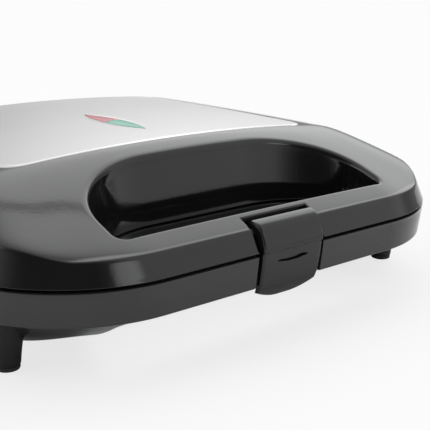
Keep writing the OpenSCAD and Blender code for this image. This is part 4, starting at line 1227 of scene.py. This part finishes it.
def build_rows():
    """Parts that stand in rows: vent rims, flex ribs of the gland and the terminals' clamps."""
    recipe = row_recipe()
    vents = [(-40, COOKING_MIDDLE + side * 22, -28.5) for side in (-1, 1)]
    rib = [(4.2, -0.55), (5.1, -0.45), (5.25, 0.0), (5.1, 0.45), (4.2, 0.55)]
    clamp = [(0.01, -1.2), (1.1, -1.2), (1.1, 0.0), (0.9, 0.15), (0.01, 0.15)]
    here = [(0, 0, 0)]
    rims = (frame_ring(1.5, 8.0, 0.75, 0.5), vents, 9, (0.010, 0.0, 0.0))
    ribs = (lathe(rib, here, "y", 36), [(0, 224.6, GLAND_Z)], 4, (0.0, 0.0018, 0.0))
    clamps = (lathe(clamp, here, steps=20), [(32, 178.5, -22.2)], 3, (0.008, 0.0, 0.0))
    rows = [("vent_rims", rims, "cover_plastic", "matt_cover"), ("gland_ribs", ribs, "gland_rubber", "rubber")]
    rows += [("terminal_screws", clamps, "brass_tag", "brass")]
    for name, (form, points, count, spacing), slot, look in rows:
        part = template(f"one_of_{name}", *form)
        follow(recipe, name, points, {"Part": part, "Count": count, "Spacing": spacing}, "base", look)
        bpy.data.objects.remove(part)


def frame_ring(half_x, half_y, width, height):
    """Rolled rim round a slot: closed ring of a half-round section, below z 0."""
    corner = 0.4
    section = [(0.0, 0.1), (0.0, -height * 0.6), (width * 0.3, -height), (width * 0.7, -height)]
    section += [(width, -height * 0.5), (width, 0.1)]
    half = (half_x - corner, half_y - corner)
    rings = [[(x, y, z) for x, y in rounded_ring((0, 0), half, corner + out)] for out, z in section]
    spots = np.array(rings)
    return spots.reshape(-1, 3), grid_faces(len(rings), spots.shape[1], wrap_rows=True, wrap_cols=True)


# ---------------------------------------------------------------- studio

CAMERA_SPOT = (-0.2267, -0.3411, 0.1349)
CAMERA_TURN, CAMERA_PITCH, CAMERA_ROLL = 0.699, 0.274, 0.009
CAMERA_LENS = 76.75
FLOOR_REACH = 40.0
WHITE, PALE, PAPER = (1, 1, 1, 1), (0.99, 0.995, 1, 1), (0.93, 0.93, 0.93, 1)
FILL_SPOT, FILL_AIM, FILL_SIZE = (-1.3, 0.35, 0.55), (0, 0, 0.04), (0.7, 1.0)
# Areas of the surroundings that reflections see: direction, cosines where each begins and is full, what it adds.
DARK_SIDE = ((-0.6, -0.6, 0.5), 0.55, 0.93, -0.93)
FRONT_LAMP = ((0.12, -0.88, 0.46), 0.975, 0.997, 1.7)
LOW_BACK = ((0.6, 0.77, 0.2), 0.7, 0.97, -0.62)
RIGHT_SIDE = ((1.0, -0.03, 0.1), 0.9, 0.985, -0.6)
SOFTBOX = ((0.62, 0.48, 0.62), 0.8, 0.95)
# The dark joint across the softbox: where it begins, where it ends, and where it stops at the side.
JOINT_LOW, JOINT_HIGH, JOINT_SIDE, JOINT_DARK = (0.745, 0.76), (0.77, 0.785), (0.4, 0.52), 0.9


def panel_light(name, spot, aim, size, radiance):
    """Rectangular light with a given radiance, turned towards a place."""
    lamp = bpy.data.lights.new(name, "AREA")
    lamp.shape, lamp.size, lamp.size_y = "RECTANGLE", *size
    lamp.energy = radiance * math.pi * size[0] * size[1]
    made = add_object(name, lamp)
    made.location = spot
    made.rotation_euler = (Vector(aim) - Vector(spot)).to_track_quat("-Z", "Y").to_euler()


def seen_by_camera(look):
    """1 for what the camera sees directly, 0 for light and reflections."""
    return look.node("ShaderNodeLightPath", out="Is Camera Ray")


def floor_finish(lift):
    """White floor: it keeps the shadow and reads as the white background."""
    floor = bpy.data.materials.new("studio_floor")
    floor.use_nodes = True
    look = Look(floor.node_tree)
    paper = look.node("ShaderNodeBsdfDiffuse", None, {"Color": PAPER})
    glow = look.node("ShaderNodeEmission", None, {"Color": WHITE, "Strength": 1.0})
    both = look.node("ShaderNodeMixShader", None, {0: seen_by_camera(look) * lift, 1: paper, 2: glow})
    look.node("ShaderNodeOutputMaterial", None, {"Surface": both})
    return floor


def write_surroundings(level_around, level_softbox):
    """White behind the object for the camera; reflections see pale walls with darker and brighter areas."""
    world = bpy.context.scene.world or bpy.data.worlds.new("studio")
    bpy.context.scene.world = world
    world.use_nodes = True
    look = Look(world.node_tree)
    way = look.node("ShaderNodeTexCoord", None, None, out="Generated")

    def towards(direction, begins, full):
        values = {0: way, 1: tuple(Vector(direction).normalized())}
        dot = look.node("ShaderNodeVectorMath", {"operation": "DOT_PRODUCT"}, values, out="Value")
        return dot.fade(begins, full)

    around = 1.0
    for *area, adds in (DARK_SIDE, FRONT_LAMP, LOW_BACK, RIGHT_SIDE):
        around = towards(*area) * adds + around
    left = look.node("ShaderNodeSeparateXYZ", None, {0: way})
    up = look.node("ShaderNodeSeparateXYZ", None, {0: way}, out="Z")
    joint = up.fade(*JOINT_LOW) * (1.0 - up.fade(*JOINT_HIGH))
    joint = joint * (1.0 - left.fade(*JOINT_SIDE))
    around = around + towards(*SOFTBOX) * (1.0 - joint * JOINT_DARK) * level_softbox
    shown = look.node("ShaderNodeEmission", None, {"Color": WHITE, "Strength": 1.0})
    lit = look.node("ShaderNodeEmission", None, {"Color": PALE, "Strength": around * level_around})
    both = look.node("ShaderNodeMixShader", None, {0: seen_by_camera(look), 1: lit, 2: shown})
    look.node("ShaderNodeOutputWorld", None, {"Surface": both})


def build_stage():
    """Floor, surroundings, side light and camera."""
    scene = bpy.context.scene
    levels = scene.toaster_studio
    corners = [(x * FLOOR_REACH, y * FLOOR_REACH, 0) for x, y in ((-1, -1), (1, -1), (1, 1), (-1, 1))]
    floor = add_object("studio_floor", new_mesh("floor", corners, [(0, 1, 2, 3)]))
    floor.data.materials.append(floor_finish(levels.floor_lift))
    write_surroundings(levels.ambient, levels.softbox)
    panel_light("side_panel", FILL_SPOT, FILL_AIM, FILL_SIZE, levels.fill)
    view = bpy.data.cameras.new("camera")
    view.lens, view.sensor_width = CAMERA_LENS, 36
    view.clip_start, view.clip_end = 0.01, 100
    camera = add_object("camera", view)
    sin, cos = math.sin, math.cos
    level_ahead = Vector((sin(CAMERA_TURN), cos(CAMERA_TURN), 0))
    ahead = level_ahead * cos(CAMERA_PITCH) - Vector((0, 0, sin(CAMERA_PITCH)))
    right = Vector((cos(CAMERA_TURN), -sin(CAMERA_TURN), 0))
    up = right.cross(ahead)
    rolled = right * cos(CAMERA_ROLL) + up * sin(CAMERA_ROLL)
    upright = up * cos(CAMERA_ROLL) - right * sin(CAMERA_ROLL)
    turned = Matrix((rolled, upright, -ahead)).transposed().to_4x4()
    camera.matrix_world = Matrix.Translation(CAMERA_SPOT) @ turned
    scene.camera = camera
    scene.view_settings.view_transform = "Standard"


# ---------------------------------------------------------------- add-on


class Build:
    """What the toaster's operators share: each runs its own steps."""

    bl_options = {"REGISTER", "UNDO"}
    steps = ()

    def execute(self, context):
        for step in self.steps:
            step()
        return {"FINISHED"}


class TOASTER_OT_shells(Build, bpy.types.Operator):
    """Builds the lid cover and the base tub"""

    bl_idname = "toaster.shells"
    bl_label = "Shells"
    steps = (build_lid_cover, build_tub)


class TOASTER_OT_trim(Build, bpy.types.Operator):
    """Builds the brushed trim panel and the windows of the indicator"""

    bl_idname = "toaster.trim"
    bl_label = "Trim and indicator"
    steps = (build_trim_panel, build_windows)


class TOASTER_OT_latch(Build, bpy.types.Operator):
    """Builds the snap latch"""

    bl_idname = "toaster.latch"
    bl_label = "Latch"
    steps = (build_latch,)


class TOASTER_OT_cooking(Build, bpy.types.Operator):
    """Builds the cooking plates and the frames round them"""

    bl_idname = "toaster.cooking"
    bl_label = "Cooking plates"
    steps = (build_cooking_plates, build_frames)


class TOASTER_OT_hinges(Build, bpy.types.Operator):
    """Builds the hinges and their pins"""

    bl_idname = "toaster.hinges"
    bl_label = "Hinges"
    steps = (build_hinges,)


class TOASTER_OT_underside(Build, bpy.types.Operator):
    """Builds the feet, the vented bottom cover and the cord entry"""

    bl_idname = "toaster.underside"
    bl_label = "Underside"
    steps = (build_feet, build_underside)


class TOASTER_OT_inner(Build, bpy.types.Operator):
    """Finishes the heating and wiring parts"""

    bl_idname = "toaster.inner"
    bl_label = "Inner parts"
    steps = (build_inner_parts,)


class TOASTER_OT_repeats(Build, bpy.types.Operator):
    """Sets the screws, vent rims, flex ribs and terminal screws"""

    bl_idname = "toaster.repeats"
    bl_label = "Screws and rows"
    steps = (build_fasteners, build_rows)


class TOASTER_OT_stage(Build, bpy.types.Operator):
    """Builds the floor, the surroundings, the side light and the camera"""

    bl_idname = "toaster.stage"
    bl_label = "Studio"
    steps = (build_stage,)


OPERATORS = (
    TOASTER_OT_shells,
    TOASTER_OT_trim,
    TOASTER_OT_latch,
    TOASTER_OT_cooking,
    TOASTER_OT_hinges,
    TOASTER_OT_underside,
    TOASTER_OT_inner,
    TOASTER_OT_repeats,
    TOASTER_OT_stage,
)
GROUPS = {"toaster_body": ToasterBody, "toaster_colours": ToasterColours, "toaster_studio": ToasterStudio}


class TOASTER_PT_sidebar(bpy.types.Panel):
    """Sizes, colours and build steps of the toaster"""

    bl_label = "Sandwich Toaster"
    bl_idname = "TOASTER_PT_sidebar"
    bl_space_type = "VIEW_3D"
    bl_region_type = "UI"
    bl_category = "Toaster"

    def draw(self, context):
        layout = self.layout
        for name, group in GROUPS.items():
            column = layout.box().column()
            for field in group.__annotations__:
                column.prop(getattr(context.scene, name), field)
        for operator in OPERATORS:
            layout.operator(operator.bl_idname)


def register():
    for made in (*GROUPS.values(), *OPERATORS, TOASTER_PT_sidebar):
        bpy.utils.register_class(made)
    for name, group in GROUPS.items():
        setattr(bpy.types.Scene, name, PointerProperty(type=group))


def unregister():
    for name in GROUPS:
        delattr(bpy.types.Scene, name)
    for made in reversed((*GROUPS.values(), *OPERATORS, TOASTER_PT_sidebar)):
        bpy.utils.unregister_class(made)


def main():
    register()
    for operator in OPERATORS:
        space, name = operator.bl_idname.split(".")
        getattr(getattr(bpy.ops, space), name)()


if __name__ == "__main__":
    main()
